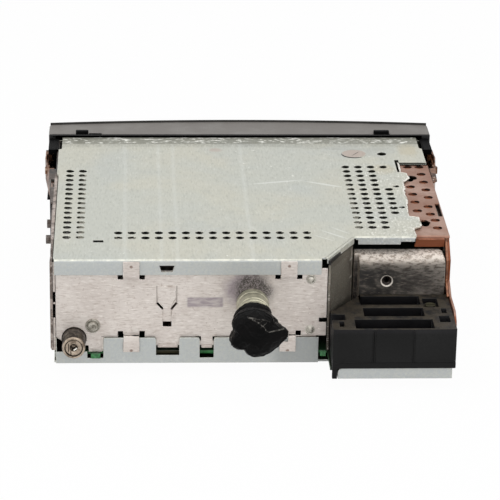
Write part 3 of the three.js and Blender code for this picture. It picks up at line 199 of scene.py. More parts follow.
class Finish:
    """One material under construction, with its patterns in object space."""

    def __init__(self, name, base, roughness=0.5, metallic=0.0):
        self.material = bpy.data.materials.new(name)
        self.material.use_nodes = True
        self.tree = self.material.node_tree
        self.shader = self.tree.nodes["Principled BSDF"]
        self.shader.inputs["Roughness"].default_value = roughness
        self.shader.inputs["Metallic"].default_value = metallic
        self.coordinates = self.tree.nodes.new("ShaderNodeTexCoord").outputs["Object"]
        self.mixed = base

    def add(self, kind, **settings):
        node = self.tree.nodes.new("ShaderNode" + kind)
        for key, value in settings.items():
            setattr(node, key, value)
        return node

    def link(self, source, target):
        self.tree.links.new(source, target)

    def placed(self, place=(0, 0, 0), turn=(0, 0, 0), scale=(1, 1, 1)):
        """Object coordinates measured from a place, turned and stretched."""
        mapping = self.add("Mapping", vector_type="TEXTURE")
        mapping.inputs["Location"].default_value = place
        mapping.inputs["Rotation"].default_value = turn
        mapping.inputs["Scale"].default_value = scale
        self.link(self.coordinates, mapping.inputs["Vector"])
        return mapping.outputs[0]

    def grain(self, size, detail=4, rough=0.55, stretch=None, distort=0.0):
        """A cloudy pattern whose blotches measure about `size` metres, or more along a stretch."""
        node = self.add("TexNoise")
        node.inputs["Scale"].default_value = 1 / size
        node.inputs["Detail"].default_value = detail
        node.inputs["Roughness"].default_value = rough
        node.inputs["Distortion"].default_value = distort
        vector = self.placed(scale=stretch) if stretch else self.coordinates
        self.link(vector, node.inputs["Vector"])
        return node.outputs["Fac"]

    def cells(self, size):
        """The distance from the middles of scattered cells of about `size` metres."""
        node = self.add("TexVoronoi")
        node.inputs["Scale"].default_value = 1 / size
        self.link(self.coordinates, node.inputs["Vector"])
        return node.outputs["Distance"]

    def between(self, value, low, high, to_low=0.0, to_high=1.0, soft=True):
        """Stretches a value's range, clamped at both ends."""
        node = self.add("MapRange", interpolation_type="SMOOTHSTEP" if soft else "LINEAR")
        node.inputs["From Min"].default_value = low
        node.inputs["From Max"].default_value = high
        node.inputs["To Min"].default_value = to_low
        node.inputs["To Max"].default_value = to_high
        self.link(value, node.inputs["Value"])
        return node.outputs["Result"]

    def math(self, operation, first, second):
        node = self.add("Math", operation=operation)
        for socket, value in zip(node.inputs, (first, second)):
            if isinstance(value, (int, float)):
                socket.default_value = value
            else:
                self.link(value, socket)
        return node.outputs[0]

    def times(self, *values):
        """The product of several values."""
        total = values[0]
        for value in values[1:]:
            total = self.math("MULTIPLY", total, value)
        return total

    def axis(self, which):
        node = self.add("SeparateXYZ")
        self.link(self.coordinates, node.inputs[0])
        return node.outputs["XYZ".index(which)]

    def facing(self, which):
        """How far a face looks along an axis, from -1 to 1."""
        node = self.add("SeparateXYZ")
        self.link(self.add("NewGeometry").outputs["Normal"], node.inputs[0])
        return node.outputs["XYZ".index(which)]

    def distance(self, place, scale, turn=0.0):
        """How far away a place is, as a share of `scale` on each axis, turned about the upright."""
        node = self.add("VectorMath", operation="LENGTH")
        self.link(self.placed(place, (0, 0, turn), scale), node.inputs[0])
        return node.outputs["Value"]

    def layer(self, base, colour, share):
        """Lays a colour over a base where the share is 1."""
        node = self.add("Mix", data_type="RGBA")
        self.link(share, node.inputs["Factor"])
        for socket, value in ((node.inputs[6], base), (node.inputs[7], colour)):
            if isinstance(value, str):
                socket.default_value = paint(value)
            else:
                self.link(value, socket)
        return node.outputs[2]

    def coat(self, colour, *shares):
        """Lays one more colour over those before, where the product of the shares is 1."""
        self.mixed = self.layer(self.mixed, colour, self.times(*shares))

    def roughness(self, pattern, low, high, smooth, dull):
        """Goes from smooth to dull as a pattern rises."""
        self.link(self.between(pattern, low, high, smooth, dull), self.shader.inputs["Roughness"])

    def bump(self, height, depth, strength=1.0):
        """Raises the surface by up to `depth` metres where the height is 1."""
        node = self.add("Bump")
        node.inputs["Distance"].default_value = depth
        node.inputs["Strength"].default_value = strength
        previous = self.shader.inputs["Normal"].links
        if previous:
            self.link(previous[0].from_socket, node.inputs["Normal"])
        self.link(height, node.inputs["Height"])
        self.link(node.outputs["Normal"], self.shader.inputs["Normal"])

    def closed(self):
        """Wires the mixed colour to the shader and returns the material."""
        self.link(self.mixed, self.shader.inputs["Base Color"])
        self.material.diffuse_color = (0.5, 0.5, 0.5, 1)
        return self.material


print("paint c8c9c0 is", [round(value, 3) for value in paint("c8c9c0")])

# %% [markdown]
# ## Where things are
# Marks and small fittings are easiest to place the way they are seen from behind: so far to the
# right of the left wall, so far ahead of the rear panel and so far over the underside. One helper
# turns these three millimetre measures into a place in the frame, and one turns a place back.

# %% Places on the case
WALL_X = 0.089
PANEL_Y = 0.077857
UNDERSIDE_Z = 0.0052
COVER_TOP = 49.2
CASE_MIDDLE = (0, 0, 0.03)


def at(right, ahead, up):
    """A place in the frame from millimetres to the right, ahead and up."""
    return Vector((WALL_X - right * MM, PANEL_Y - ahead * MM, UNDERSIDE_Z + up * MM))


def where(place):
    """The reverse of `at`: how far right, ahead and up a place is, in millimetres."""
    return (WALL_X - place[0]) / MM, (PANEL_Y - place[1]) / MM, (place[2] - UNDERSIDE_Z) / MM


print("rear left corner of the cover", [round(value, 4) for value in at(0, 0, COVER_TOP)])

# %% [markdown]
# ## Marks that finishes share
# Old sheet metal is told apart from new by its marks: ragged stains, hairline scratches, specks of
# salt, wear on the bends with a painted highlight on it, and dust and painted shade on every face
# that looks into the case. Each mark is one helper that returns how strongly it shows, from 0 to 1,
# so a finish can lay a colour where the mark is.

# %% Marks of age
def dust_and_shade_inside(finish):
    """Is 1 on faces that look towards the middle of the case, where dust and painted shade go."""
    outward = finish.add("VectorMath", operation="SUBTRACT")
    outward.inputs[1].default_value = CASE_MIDDLE
    finish.link(finish.coordinates, outward.inputs[0])
    facing = finish.add("VectorMath", operation="DOT_PRODUCT")
    finish.link(outward.outputs["Vector"], facing.inputs[0])
    finish.link(finish.add("NewGeometry").outputs["Normal"], facing.inputs[1])
    return finish.between(facing.outputs["Value"], 0.002, -0.002)


def ramp(finish, which, start, end, *shares, soft=True):
    """Goes from 0 to 1, or between two shares, over a stretch given in millimetres as in `at`."""
    ends = [at(value, value, value)["XYZ".index(which)] for value in (start, end)]
    return finish.between(finish.axis(which), *ends, *shares, soft=soft)


def in_box(finish, low, high, soft=0.3):
    """Is 1 between two corners given with `at`, fading over `soft` millimetres."""
    spans = []
    for which, first, second in zip("XYZ", low, high):
        place = finish.axis(which)
        near, far = sorted((first, second))
        past = finish.between(place, near - soft * MM, near)
        spans.append(finish.times(past, finish.between(place, far + soft * MM, far)))
    return finish.times(*spans)


def stain(finish, place, reach, ragged=0.35):
    """A ragged patch of a given reach on each axis, 1 in its middle and 0 outside."""
    away = finish.distance(place, reach)
    edge = finish.times(finish.grain(min(reach) * 0.5, detail=5, rough=0.65), ragged * 2)
    return finish.between(finish.math("ADD", away, edge), 0.75, 1.25, 1, 0)


def scratch(finish, place, turn, reach):
    """A hairline with given half lengths on its own axes, turned about its middle."""
    return finish.between(finish.distance(place, reach, turn), 0.4, 1, 1, 0)


def salt_specks(finish, size, amount):
    """Small bright flecks, crowded where a slow pattern is high."""
    crowd = finish.between(finish.grain(0.03, detail=3), 0.4, 0.7)
    pattern = finish.grain(size, detail=5, rough=0.7)
    return finish.times(finish.between(pattern, 0.68 - amount, 0.74 - amount), crowd)


def largest(finish, marks):
    """The strongest of several marks at each place."""
    total = marks[0]
    for mark in marks[1:]:
        total = finish.math("MAXIMUM", total, mark)
    return total


def wiped_bands(finish, places, width):
    """Pale bands from front to back, one at each place to the right of the left wall."""
    wobble = finish.times(finish.grain(0.03, detail=2), width * 0.5)
    across = finish.math("ADD", finish.axis("X"), wobble)
    bands = []
    for right in places:
        middle = WALL_X - right * MM + width * 0.25
        away = finish.math("ABSOLUTE", finish.math("SUBTRACT", across, middle), 0)
        bands.append(finish.between(away, 0, width, 1, 0))
    return largest(finish, bands)


# %% [markdown]
# ## Galvanised steel
# The covers are cold-rolled steel under a thin zinc coat. Fresh zinc is bluish grey, and it turns
# cream in patches as it oxidises, with white specks of salt and a few pale bands where a hand or a
# cloth has wiped it. The bend at the rear is rubbed bright in places, with a painted highlight
# there as well. A plain metal shader would look like chrome here, so the coat is a rough half-metal
# with all of this in its colour.

# %% Zinc coat
def make_zinc(name="zinc-coated steel"):
    finish = Finish(name, "c1c3ba", roughness=0.45, metallic=0.4)
    clouds = finish.grain(0.05, detail=6, distort=0.4)
    finish.coat("c6c5b8", finish.between(clouds, 0.38, 0.62))
    blue = finish.between(finish.grain(0.035, detail=5), 0.5, 0.66)
    finish.coat("b9bebb", blue, 0.4)
    mottle = finish.grain(0.003, detail=6, rough=0.7, stretch=(1, 3, 1))
    finish.coat("a5a79f", finish.between(mottle, 0.52, 0.74, 0, 0.45))
    finish.coat("d6d7d0", finish.between(mottle, 0.46, 0.26, 0, 0.45))
    fine = finish.grain(0.0008, detail=4, stretch=(1, 5, 1))
    finish.coat("96988f", finish.between(fine, 0.52, 0.76, 0, 0.4))
    finish.coat("e6e7e0", finish.between(fine, 0.42, 0.24, 0, 0.4))
    bands = wiped_bands(finish, (32.7, 48.8, 55.7, 88.5), 0.0016)
    finish.coat("dfe2de", bands, 0.2)
    finish.coat("f4f4ee", salt_specks(finish, 0.0022, 0.05))
    behind = finish.facing("Y")
    flank = finish.between(behind, 0.75, 0.95)
    frost = finish.between(finish.grain(0.0012, detail=5, rough=0.7), 0.38, 0.66, 0.55, 0.95)
    finish.coat("aeb2b3", flank, frost)
    return finish, fine


def worn_lit_bend(finish, low, high):
    """Broken bright wear and painted highlight where a face turns from looking up to looking back."""
    behind = finish.facing("Y")
    turning = finish.times(finish.between(behind, 0.15, 0.45), finish.between(behind, 0.97, 0.8))
    return finish.times(turning, finish.between(finish.grain(0.006, detail=5, rough=0.7), low, high))


def close_zinc(finish, fine):
    # dust and painted shade on the faces that look into the case
    finish.coat("26271f", dust_and_shade_inside(finish))
    finish.roughness(fine, 0.2, 0.8, 0.38, 0.58)
    finish.bump(finish.grain(0.012, detail=2), 0.0004, 0.3)
    finish.bump(fine, 0.00005, 0.5)
    return finish.closed()


def make_plain_zinc():
    """The lower cover gets a painted shadow of the tape on its flange, right of the tape."""
    finish, fine = make_zinc()
    right, left = ramp(finish, "X", 94, 103), ramp(finish, "X", 126, 122)
    # painted shadow of the tape on the lower flange
    finish.coat("7e8080", right, left, ramp(finish, "Z", 13, 12), 0.5)
    # wear and a painted highlight on the bends
    finish.coat("dedfd8", worn_lit_bend(finish, 0.5, 0.62))
    return close_zinc(finish, fine)


zinc = make_plain_zinc()
print("zinc nodes", len(zinc.node_tree.nodes))

# %% [markdown]
# ## The top cover's own marks
# The top cover has been handled most, so it gets marks of its own. There are two cream stains and
# two pink ones, pale scratches and one dark line, and a pitted stretch beside the tear. Seen at a
# slant, a vent shows only its far cut wall, so those walls get painted shade, and painted light
# where the inner frame lies close under them. Towards the front the cover is darker, a crease leads
# to the lip under the moulding, and the lip gets painted shade and painted highlights.

# %% Marks on the top cover
MARK_DEEP = 0.01
CREAM_STAINS = ((170, 139, 0.007, 0.013), (156, 112, 0.008, 0.01))
PALE_SCRATCHES = (
    (104, 94.5, 0.22, 0.017, 0.0012), (126, 91.5, -0.43, 0.013, 0.0012),
    (126, 28, -0.75, 0.011, 0.0006), (129, 33, -0.8, 0.009, 0.0004), (121, 24, -0.7, 0.008, 0.0004),
)
LIT_VENTS = ((10.4, 20, 15.6, 102), (27.4, 20, 37.4, 24.6), (133.4, 29, 138.8, 100))


def on_cover(finish, left, rear, right, front, soft=0.3):
    """Is 1 on a rectangle of the top cover."""
    return in_box(finish, at(left, rear, 40), at(right, front, 60), soft)


def add_stains(finish):
    """Cream and pink patches, pale scratches and one dark one."""
    cream = largest(finish, [
        stain(finish, at(right, ahead, COVER_TOP), (wide, deep, MARK_DEEP))
        for right, ahead, wide, deep in CREAM_STAINS
    ])
    finish.coat("beb08c", cream, 0.35)
    disc = finish.distance(at(143.4, 132.6, COVER_TOP), (0.0058, 0.0052, MARK_DEEP))
    pink = largest(finish, [
        stain(finish, at(76.4, 138.7, COVER_TOP), (0.0045, 0.004, MARK_DEEP)),
        finish.times(finish.between(disc, 0.97, 1, 1, 0), 1.4),
    ])
    finish.coat("b5a398", pink, 0.55)
    pale = largest(finish, [
        scratch(finish, at(right, ahead, COVER_TOP), turn, (half, thin, MARK_DEEP))
        for right, ahead, turn, half, thin in PALE_SCRATCHES
    ])
    finish.coat("e6e8e4", pale, 0.55)
    dark = scratch(finish, at(144.2, 132.6, COVER_TOP), 0.97, (0.0046, 0.0003, MARK_DEEP))
    finish.coat("2b2822", dark)


def punched_walls(finish):
    """Is 1 on the cut walls of the vents and slots, just under the cover's top face."""
    low, high = COVER_TOP - 1.2, COVER_TOP - 0.2
    sheet = in_box(finish, at(3, 20, low), at(118, 150, high), soft=0.05)
    side = in_box(finish, at(118, 36, low), at(158, 146, high), soft=0.05)
    level = finish.between(finish.facing("Z"), 0.6, 0.3)
    return finish.times(level, finish.math("MAXIMUM", sheet, side))


def add_vent_wall_shading(finish):
    """Painted shade on the vents' cut walls, and painted light where inner metal lies close under them.
    """
    walls = punched_walls(finish)
    # painted shade on the cut walls of the vents
    finish.coat("161613", walls)
    lit = largest(finish, [on_cover(finish, *sides) for sides in LIT_VENTS])
    cloudy = finish.between(finish.grain(0.004, detail=3), 0.35, 0.55, 0.35, 1)
    # painted light on the walls over the inner strips
    finish.coat("9d9d93", walls, lit, cloudy)


def add_front_shading(finish, torn):
    """Darker towards the front, a crease, and painted shade and highlights on the lip under the
    moulding.
    """
    band = on_cover(finish, -1, 145, 180, 148.4, soft=4)
    finish.coat("86867b", band, finish.between(torn, 0.3, 0.7, 0, 0.55))
    # painted shade on the lip under the moulding
    lip = on_cover(finish, -1, 148.4, 180, 158, soft=0.4)
    finish.coat("7c7c70", lip, 0.75)
    finish.coat("85857a", on_cover(finish, -1, 147.4, 180, 148.1, soft=0.5), 0.7)
    # painted highlights along the rolled lip
    dashes = finish.grain(0.0012, detail=5, stretch=(2.5, 1, 1))
    finish.coat("f0f0e8", lip, finish.between(dashes, 0.54, 0.62))


def make_cover_zinc():
    """The top cover's coat, with the marks that its long life left on it."""
    finish, fine = make_zinc("stained zinc")
    add_stains(finish)
    add_vent_wall_shading(finish)
    torn = finish.grain(0.001, detail=5, rough=0.75, stretch=(1, 2, 1))
    tear = on_cover(finish, 143, 28, 170, 116, soft=7)
    finish.coat("6a6a5c", tear, finish.between(torn, 0.58, 0.7, 0, 0.7))
    finish.coat("fbfbf4", tear, finish.between(torn, 0.46, 0.36, 0, 0.7))
    add_front_shading(finish, torn)
    # wear and a painted highlight on the rear bend
    finish.coat("e2e1d4", worn_lit_bend(finish, 0.44, 0.6), 0.7)
    return close_zinc(finish, fine)


cover_zinc = make_cover_zinc()
print("cover zinc nodes", len(cover_zinc.node_tree.nodes))

# %% [markdown]
# ## Tin plate
# The rear panel and the walls are thinner tin plate. It is warmer than zinc, faintly pink where the
# steel shows through, with fine brown flecks and a grain from the rolling mill that runs across the
# sheet. The rear panel also has a speckled dark halo where solvent ran round the stud, and one
# rubbed grey smudge. The key-shaped boss stands out too little to cast a shadow, so its two upright
# edges get a thin line of painted shade.

# %% Tin plate
TAB_SPOTS = ((35.4, 46.2), (35.4, 6.4), (104.2, 46.4), (104.2, 6.2))
BOSS_LEFT, BOSS_RIGHT, BOSS_WAIST, BOSS_TOP = 47, 54.9, 28.4, 36.3


def make_tin(name, base, cloud, rust=0.5):
    finish = Finish(name, base, roughness=0.42, metallic=0.4)
    clouds = finish.grain(0.03, detail=6, distort=0.5)
    finish.coat(cloud, finish.between(clouds, 0.4, 0.62))
    mottle = finish.grain(0.002, detail=6, rough=0.7)
    finish.coat("a39388", finish.between(mottle, 0.52, 0.74, 0, 0.5))
    rolled = finish.grain(0.0005, detail=4, stretch=(6, 1, 1))
    finish.coat("9c8b80", finish.between(rolled, 0.52, 0.74, 0, 0.55))
    finish.coat("ebe5df", finish.between(rolled, 0.44, 0.3, 0, 0.6))
    flecks = finish.between(finish.grain(0.0016, detail=5, rough=0.7), 0.61, 0.7, 0, rust)
    finish.coat("7d5f4e", flecks)
    finish.coat("f1ece6", salt_specks(finish, 0.002, 0.04))
    return finish, rolled


def close_tin(finish, rolled, dark="2c2a26"):
    # dust and painted shade on the faces that look into the case
    finish.coat(dark, dust_and_shade_inside(finish))
    finish.roughness(rolled, 0.2, 0.8, 0.36, 0.54)
    finish.bump(finish.grain(0.009, detail=2), 0.0003, 0.35)
    finish.bump(rolled, 0.00004, 0.5)
    return finish.closed()


def make_panel_tin():
    finish, rolled = make_tin("stained tin plate", "d4ccc5", "c9c0b9")
    purple = stain(finish, at(86, 0, 34), (0.0125, 0.01, 0.011), ragged=0.25)
    finish.coat("978b92", purple, 0.8)
    halo = stain(finish, at(88.6, 0, 34.2), (0.0118, 0.01, 0.0108), ragged=0.3)
    speckle = finish.between(finish.grain(0.0006, detail=4, rough=0.7), 0.38, 0.56, 0.35, 1)
    finish.coat("4a4642", halo, speckle)
    smudge = in_box(finish, at(60.4, -2, 26.8), at(75, 2, 30.4), soft=1)
    rubbed = finish.grain(0.0012, detail=4, stretch=(4, 1, 1))
    finish.coat("9a9093", smudge, finish.between(rubbed, 0.35, 0.6, 0.5, 1))
    spots = largest(finish, [
        stain(finish, at(right, -1, up), (0.0011, 0.01, 0.001)) for right, up in TAB_SPOTS
    ])
    finish.coat("6f5546", spots, 0.8)
    # painted shade along the two upright edges of the boss
    shade = largest(finish, [
        in_box(finish, at(BOSS_LEFT - 0.5, -2, BOSS_WAIST), at(BOSS_LEFT - 0.1, 2, BOSS_TOP)),
        in_box(finish, at(BOSS_RIGHT + 0.1, -2, BOSS_WAIST), at(BOSS_RIGHT + 0.5, 2, BOSS_TOP)),
    ])
    finish.coat("857c76", shade, 0.75)
    return close_tin(finish, rolled)


def make_wall_tin():
    """The recess wall is painted dark as the connector block's shade, with painted highlights."""
    # painted shade: the wall's tin is dark because the connector block shades it
    finish, rolled = make_tin("shaded wall tin", "827d71", "4d4941", rust=0.7)
    # more painted shade low down beside the connector block
    block_shade = stain(finish, at(128, 8, 12), (0.012, 0.02, 0.016))
    finish.coat("24211c", block_shade, 0.85)
    # painted shadow in the gap under the slanted flange
    shadow_gap = in_box(finish, at(119, -2, 45.3), at(136, 28, 50), soft=0.1)
    finish.coat("100f0d", shadow_gap)
    strip = in_box(finish, at(119, -2, 43.2), at(134, 25, 45.8), soft=0.2)
    finish.coat("6f6a5f", strip)
    broken = finish.between(finish.grain(0.004, detail=4), 0.4, 0.55, 0.25, 1)
    # broken painted highlight along the wall's end edge
    edge = in_box(finish, at(132.6, 23, 4), at(134.8, 28, 45), soft=0.2)
    finish.coat("b0a99d", edge, broken)
    # small painted highlights on that edge
    bright = largest(finish, [
        stain(finish, at(133, 24, up), (0.002, 0.004, 0.001)) for up in (39.6, 31)
    ])
    finish.coat("d8d4ca", bright)
    return close_tin(finish, rolled, dark="1d1b18")


def make_side_tin():
    """The left wall, darker brown on its outer bulge and studs, towards the rear and top, and at its
    front end.
    """
    finish, rolled = make_tin("darkened side tin", "b9ada5", "a99c93", rust=0.9)
    blotch = finish.between(finish.grain(0.005, detail=5, rough=0.7), 0.44, 0.56)
    outer = ramp(finish, "X", -0.1, -0.5)
    finish.coat("1f1712", outer, finish.between(blotch, 0, 1, 0.75, 1))
    finish.coat("4b4038", ramp(finish, "Y", 40, 10), finish.between(blotch, 0, 1, 0.3, 0.85))
    finish.coat("1c1815", ramp(finish, "Y", 104, 112))
    finish.coat("4a3d35", ramp(finish, "Z", 40, 46), blotch, 0.7)
    return close_tin(finish, rolled)


tin = close_tin(*make_tin("tin plate", "c4bab2", "b9aea6"))
panel_tin = make_panel_tin()
wall_tin = make_wall_tin()
side_tin = make_side_tin()
print("tin finishes", [metal.name for metal in (tin, panel_tin, wall_tin, side_tin)])

# %% [markdown]
# ## Copper and bronze
# The heat spreader is bare copper that has dulled to pinkish brown, more orange on the bend that
# was rubbed. The side clips are spring bronze, nearly black in the hollows and pale where they
# scrape the dashboard.

# %% Copper and bronze
def make_copper():
    finish = Finish("dull copper", "a98878", roughness=0.42, metallic=0.5)
    clouds = finish.grain(0.02, detail=5, distort=0.4)
    finish.coat("916c5b", finish.between(clouds, 0.36, 0.66))
    mottle = finish.grain(0.003, detail=6, rough=0.65)
    finish.coat("74503f", finish.between(mottle, 0.5, 0.76, 0, 0.6))
    finish.coat("c2a292", salt_specks(finish, 0.0025, 0.03))
    behind = finish.facing("Y")
    lower = ramp(finish, "Z", 47.8, 45.6, 0.4, 1)
    warm = finish.times(finish.between(behind, 0.3, 0.7), lower)
    finish.coat("743c1e", warm)
    side = finish.between(finish.math("ABSOLUTE", finish.facing("X"), 0), 0.5, 0.9)
    finish.coat("6b4433", side, 0.8)
    beyond = ramp(finish, "Y", 33, 37)
    # dust and painted shade on the faces that look into the case, beyond the recess
    finish.coat("2a1b14", dust_and_shade_inside(finish), beyond)
    finish.roughness(clouds, 0.3, 0.7, 0.36, 0.52)
    finish.bump(finish.grain(0.008, detail=2), 0.0003, 0.35)
    return finish.closed()


def make_bronze():
    finish = Finish("spring bronze", "84593c", roughness=0.42, metallic=0.5)
    clouds = finish.grain(0.005, detail=5)
    finish.coat("3d281c", finish.between(clouds, 0.4, 0.6))
    pale = finish.between(finish.grain(0.0024, detail=5), 0.58, 0.68, 0, 0.8)
    finish.coat("cdb7a4", pale)
    finish.roughness(clouds, 0.3, 0.7, 0.34, 0.55)
    finish.bump(finish.grain(0.002, detail=3), 0.0001, 0.5)
    return finish.closed()


copper = make_copper()
bronze = make_bronze()
print("copper nodes", len(copper.node_tree.nodes), "bronze nodes", len(bronze.node_tree.nodes))

# %% [markdown]
# ## Aluminium, plating and brass
# The heat sink is an extruded aluminium block. Its top is scuffed, and painted pale as light that the
# cover's overhang keeps from it. Its rear face is dark, a little less so towards the right and near
# the top, with the die's streaks in it as short pale dashes.
# Screws, shafts and contacts are nickel plated, which is warmer and smoother.

# %% Extruded aluminium and plated parts
def make_aluminium():
    finish = Finish("extruded aluminium", "a79e94", roughness=0.4, metallic=0.12)
    clouds = finish.grain(0.012, detail=5, distort=0.8)
    dashes = finish.grain(0.0009, detail=4, rough=0.6, stretch=(3, 1, 1))
    finish.coat("857b72", finish.between(clouds, 0.4, 0.65))
    finish.coat("54493f", finish.between(dashes, 0.5, 0.62, 0, 0.9))
    finish.coat("c9b8a9", finish.between(finish.grain(0.003), 0.6, 0.7, 0, 0.6))
    behind = finish.between(finish.facing("Y"), 0.5, 0.9)
    # painted light: the top is pale, with scuffs, though the cover's overhang shades it
    upward = ramp(finish, "Z", 38.4, 40.8)
    scuffs = finish.grain(0.0016, detail=5, rough=0.7)
    pale = finish.layer("f6ece1", "ab9d90", finish.between(scuffs, 0.46, 0.6))
    finish.coat(pale, upward)
    right = ramp(finish, "X", 147, 176, 1, 0.7, soft=False)
    upper = ramp(finish, "Z", 40.5, 34, 0.15, 1)
    patchy = finish.between(clouds, 0.3, 0.55, 0.82, 1)
    finish.coat("161310", behind, right, upper, patchy)
    from_hole = finish.distance(at(149.4, 20, 30), (MM, 1, MM))
    finish.coat("e4dcd2", finish.between(from_hole, 2.85, 2.7))
    finish.coat("1a100b", finish.between(from_hole, 2.3, 2.15))
    finish.coat("8d8176", behind, finish.between(dashes, 0.46, 0.32, 0, 0.4))
    finish.roughness(dashes, 0.3, 0.7, 0.5, 0.68)
    finish.bump(dashes, 0.00008, 0.6)
    return finish.closed()


def make_plating(name, base, dark, metallic=0.6):
    finish = Finish(name, base, roughness=0.32, metallic=metallic)
    clouds = finish.grain(0.004, detail=5)
    finish.coat(dark, finish.between(clouds, 0.42, 0.7))
    finish.coat(dark, finish.between(finish.grain(0.0008, detail=4), 0.56, 0.7, 0, 0.8))
    finish.roughness(clouds, 0.3, 0.7, 0.26, 0.44)
    finish.bump(finish.grain(0.0012, detail=2), 0.00003, 0.4)
    return finish.closed()


aluminium = make_aluminium()
plating = make_plating("nickel plating", "b9b5ab", "7a756a")
old_plating = make_plating("yellowed plating", "c0bda6", "969381", metallic=0.45)
worn_tin = make_plating("worn tin edges", "e0d9d2", "a89d94", metallic=0.3)
frame_tin = make_plating("shaded frame tin", "e4e1d8", "a5a299", metallic=0.1)
shaded_copper = make_plating("shaded copper", "a3664a", "6e412d", metallic=0.2)
hem_copper = make_plating("rubbed copper", "8d5c41", "5c3828", metallic=0.35)
dull_plating = make_plating("dull dark plating", "4d4a38", "2f2c22", metallic=0.4)
brass = make_plating("brass", "b89a5e", "7c6134")
bare_steel = make_plating("bare torn steel", "f6f3ea", "b5b2a4", metallic=0.25)


def make_aerial_plating():
    """Pale where hands and plugs rub the end, and dark brown round the side, a stain with painted
    shade.
    """
    finish = Finish("stained shaded plating", "ab9c8b", roughness=0.36, metallic=0.45)
    clouds = finish.grain(0.0025, detail=5, rough=0.65)
    finish.coat("6d5f50", finish.between(clouds, 0.45, 0.68))
    # painted shade round the side, laid together with a brown stain
    side = finish.between(finish.facing("Y"), 0.45, 0.15)
    stained = finish.between(clouds, 0.3, 0.6, 0.7, 1)
    finish.coat("1d150f", side, stained)
    finish.roughness(clouds, 0.3, 0.7, 0.28, 0.46)
    finish.bump(clouds, 0.00005, 0.5)
    return finish.closed()


aerial_plating = make_aerial_plating()
print("aerial plating nodes", len(aerial_plating.node_tree.nodes))

# %% [markdown]
# ## Moulded plastics
# The connector block is black phenolic with brown dust on its upper faces, the front is warm grey
# plastic with a fine moulded grain, and the knobs and buttons are clean black. Black plastic is
# never quite black: dust and tiny scratches lift it to a dark grey, most of all on an edge that
# hands rub.

# %% Plastics
MOULD_GRAIN = 0.0007


def make_plastic(name, base, light, roughness=0.5, dust=None, shine=0.35):
    finish = Finish(name, base, roughness=roughness)
    finish.shader.inputs["Specular IOR Level"].default_value = shine
    clouds = finish.grain(0.012, detail=4)
    finish.coat(light, finish.between(clouds, 0.4, 0.7))
    grain = finish.grain(MOULD_GRAIN, detail=3)
    finish.coat(light, finish.between(grain, 0.56, 0.74, 0, 0.6))
    if dust:
        upward = finish.between(finish.facing("Z"), 0.5, 0.95)
        patches = finish.between(finish.grain(0.005, detail=5, rough=0.65), 0.3, 0.62)
        finish.coat(dust, finish.times(upward, patches))
    finish.roughness(grain, 0.3, 0.7, roughness - 0.07, roughness + 0.08)
    finish.bump(grain, 0.00006, 0.5)
    return finish


def make_fascia_plastic():
    """Warm grey on show, and bare black plastic where it faces back or straight ahead."""
    finish = make_plastic("grey plastic", "7a7672", "83807c", roughness=0.58)
    finish.coat("060607", finish.between(finish.facing("Y"), 0.3, 0.6))
    finish.coat("161617", finish.between(finish.facing("Y"), -0.3, -0.7))
    return finish.closed()


def make_phenolic():
    """Dull black, dusty brown on top, and blacker still inside the contact slots."""
    finish = make_plastic(
        "black phenolic", "0b0a0c", "121113", roughness=0.52, dust="3a342b", shine=0.2,
    )
    finish.coat("020202", ramp(finish, "Z", 22.6, 21), ramp(finish, "Y", -17.6, -18.6))
    return finish.closed()


black = make_plastic("black plastic", "030304", "090909", shine=0.04).closed()
worn_black = make_plastic("worn black edge", "3a3937", "454341", shine=0.1).closed()
phenolic = make_phenolic()
dial_black = make_plastic("dial enamel", "0d1110", "131817", roughness=0.4, shine=0.2).closed()
white = make_plastic("ivory plastic", "d8d5ca", "c9c5b8", roughness=0.45).closed()
brown = make_plastic("brown insulator", "2a1d15", "3c2c21", roughness=0.4).closed()
red = make_plastic("red plastic", "b5301c", "9b2817", roughness=0.4).closed()
print("phenolic nodes", len(phenolic.node_tree.nodes), "red nodes", len(red.node_tree.nodes))

# %% [markdown]
# ## Circuit board, tape and clear plastic
# The boards are green lacquer over glass cloth, bright at the rear edge and painted dark further in,
# as dust and painted shade, with painted shade on their upper faces and right of one opening. The
# tape is black vinyl with a faint gloss, pale dust on it and worn ridges that carry a painted
# highlight. The dial window is clear acrylic: a transmitting shader with a faint grey haze.

# %% Board, tape and clear plastic
def make_board():
    finish = Finish("green board lacquer", "2f7a3c", roughness=0.4)
    weave = finish.cells(0.0012)
    finish.coat("1f5a2e", finish.between(finish.grain(0.008), 0.4, 0.65))
    finish.coat("4c8f5c", finish.between(weave, 0.35, 0.7, 0, 0.5))
    # dust and painted shade further into the case
    deep = ramp(finish, "Y", 4, 16)
    finish.coat("0c100b", deep)
    finish.coat("3b3828", ramp(finish, "X", 44, 46), ramp(finish, "X", 60, 58))
    # painted shade on the board's upper faces
    upward = finish.between(finish.facing("Z"), 0.4, 0.8)
    finish.coat("1c2c1e", upward, 0.8)
    # painted shade right of the opening in the lower flange
    finish.coat("151d13", ramp(finish, "X", 121, 122.5))
    finish.roughness(weave, 0.1, 0.6, 0.34, 0.46)
    finish.bump(weave, 0.00003, 0.4)
    return finish.closed()


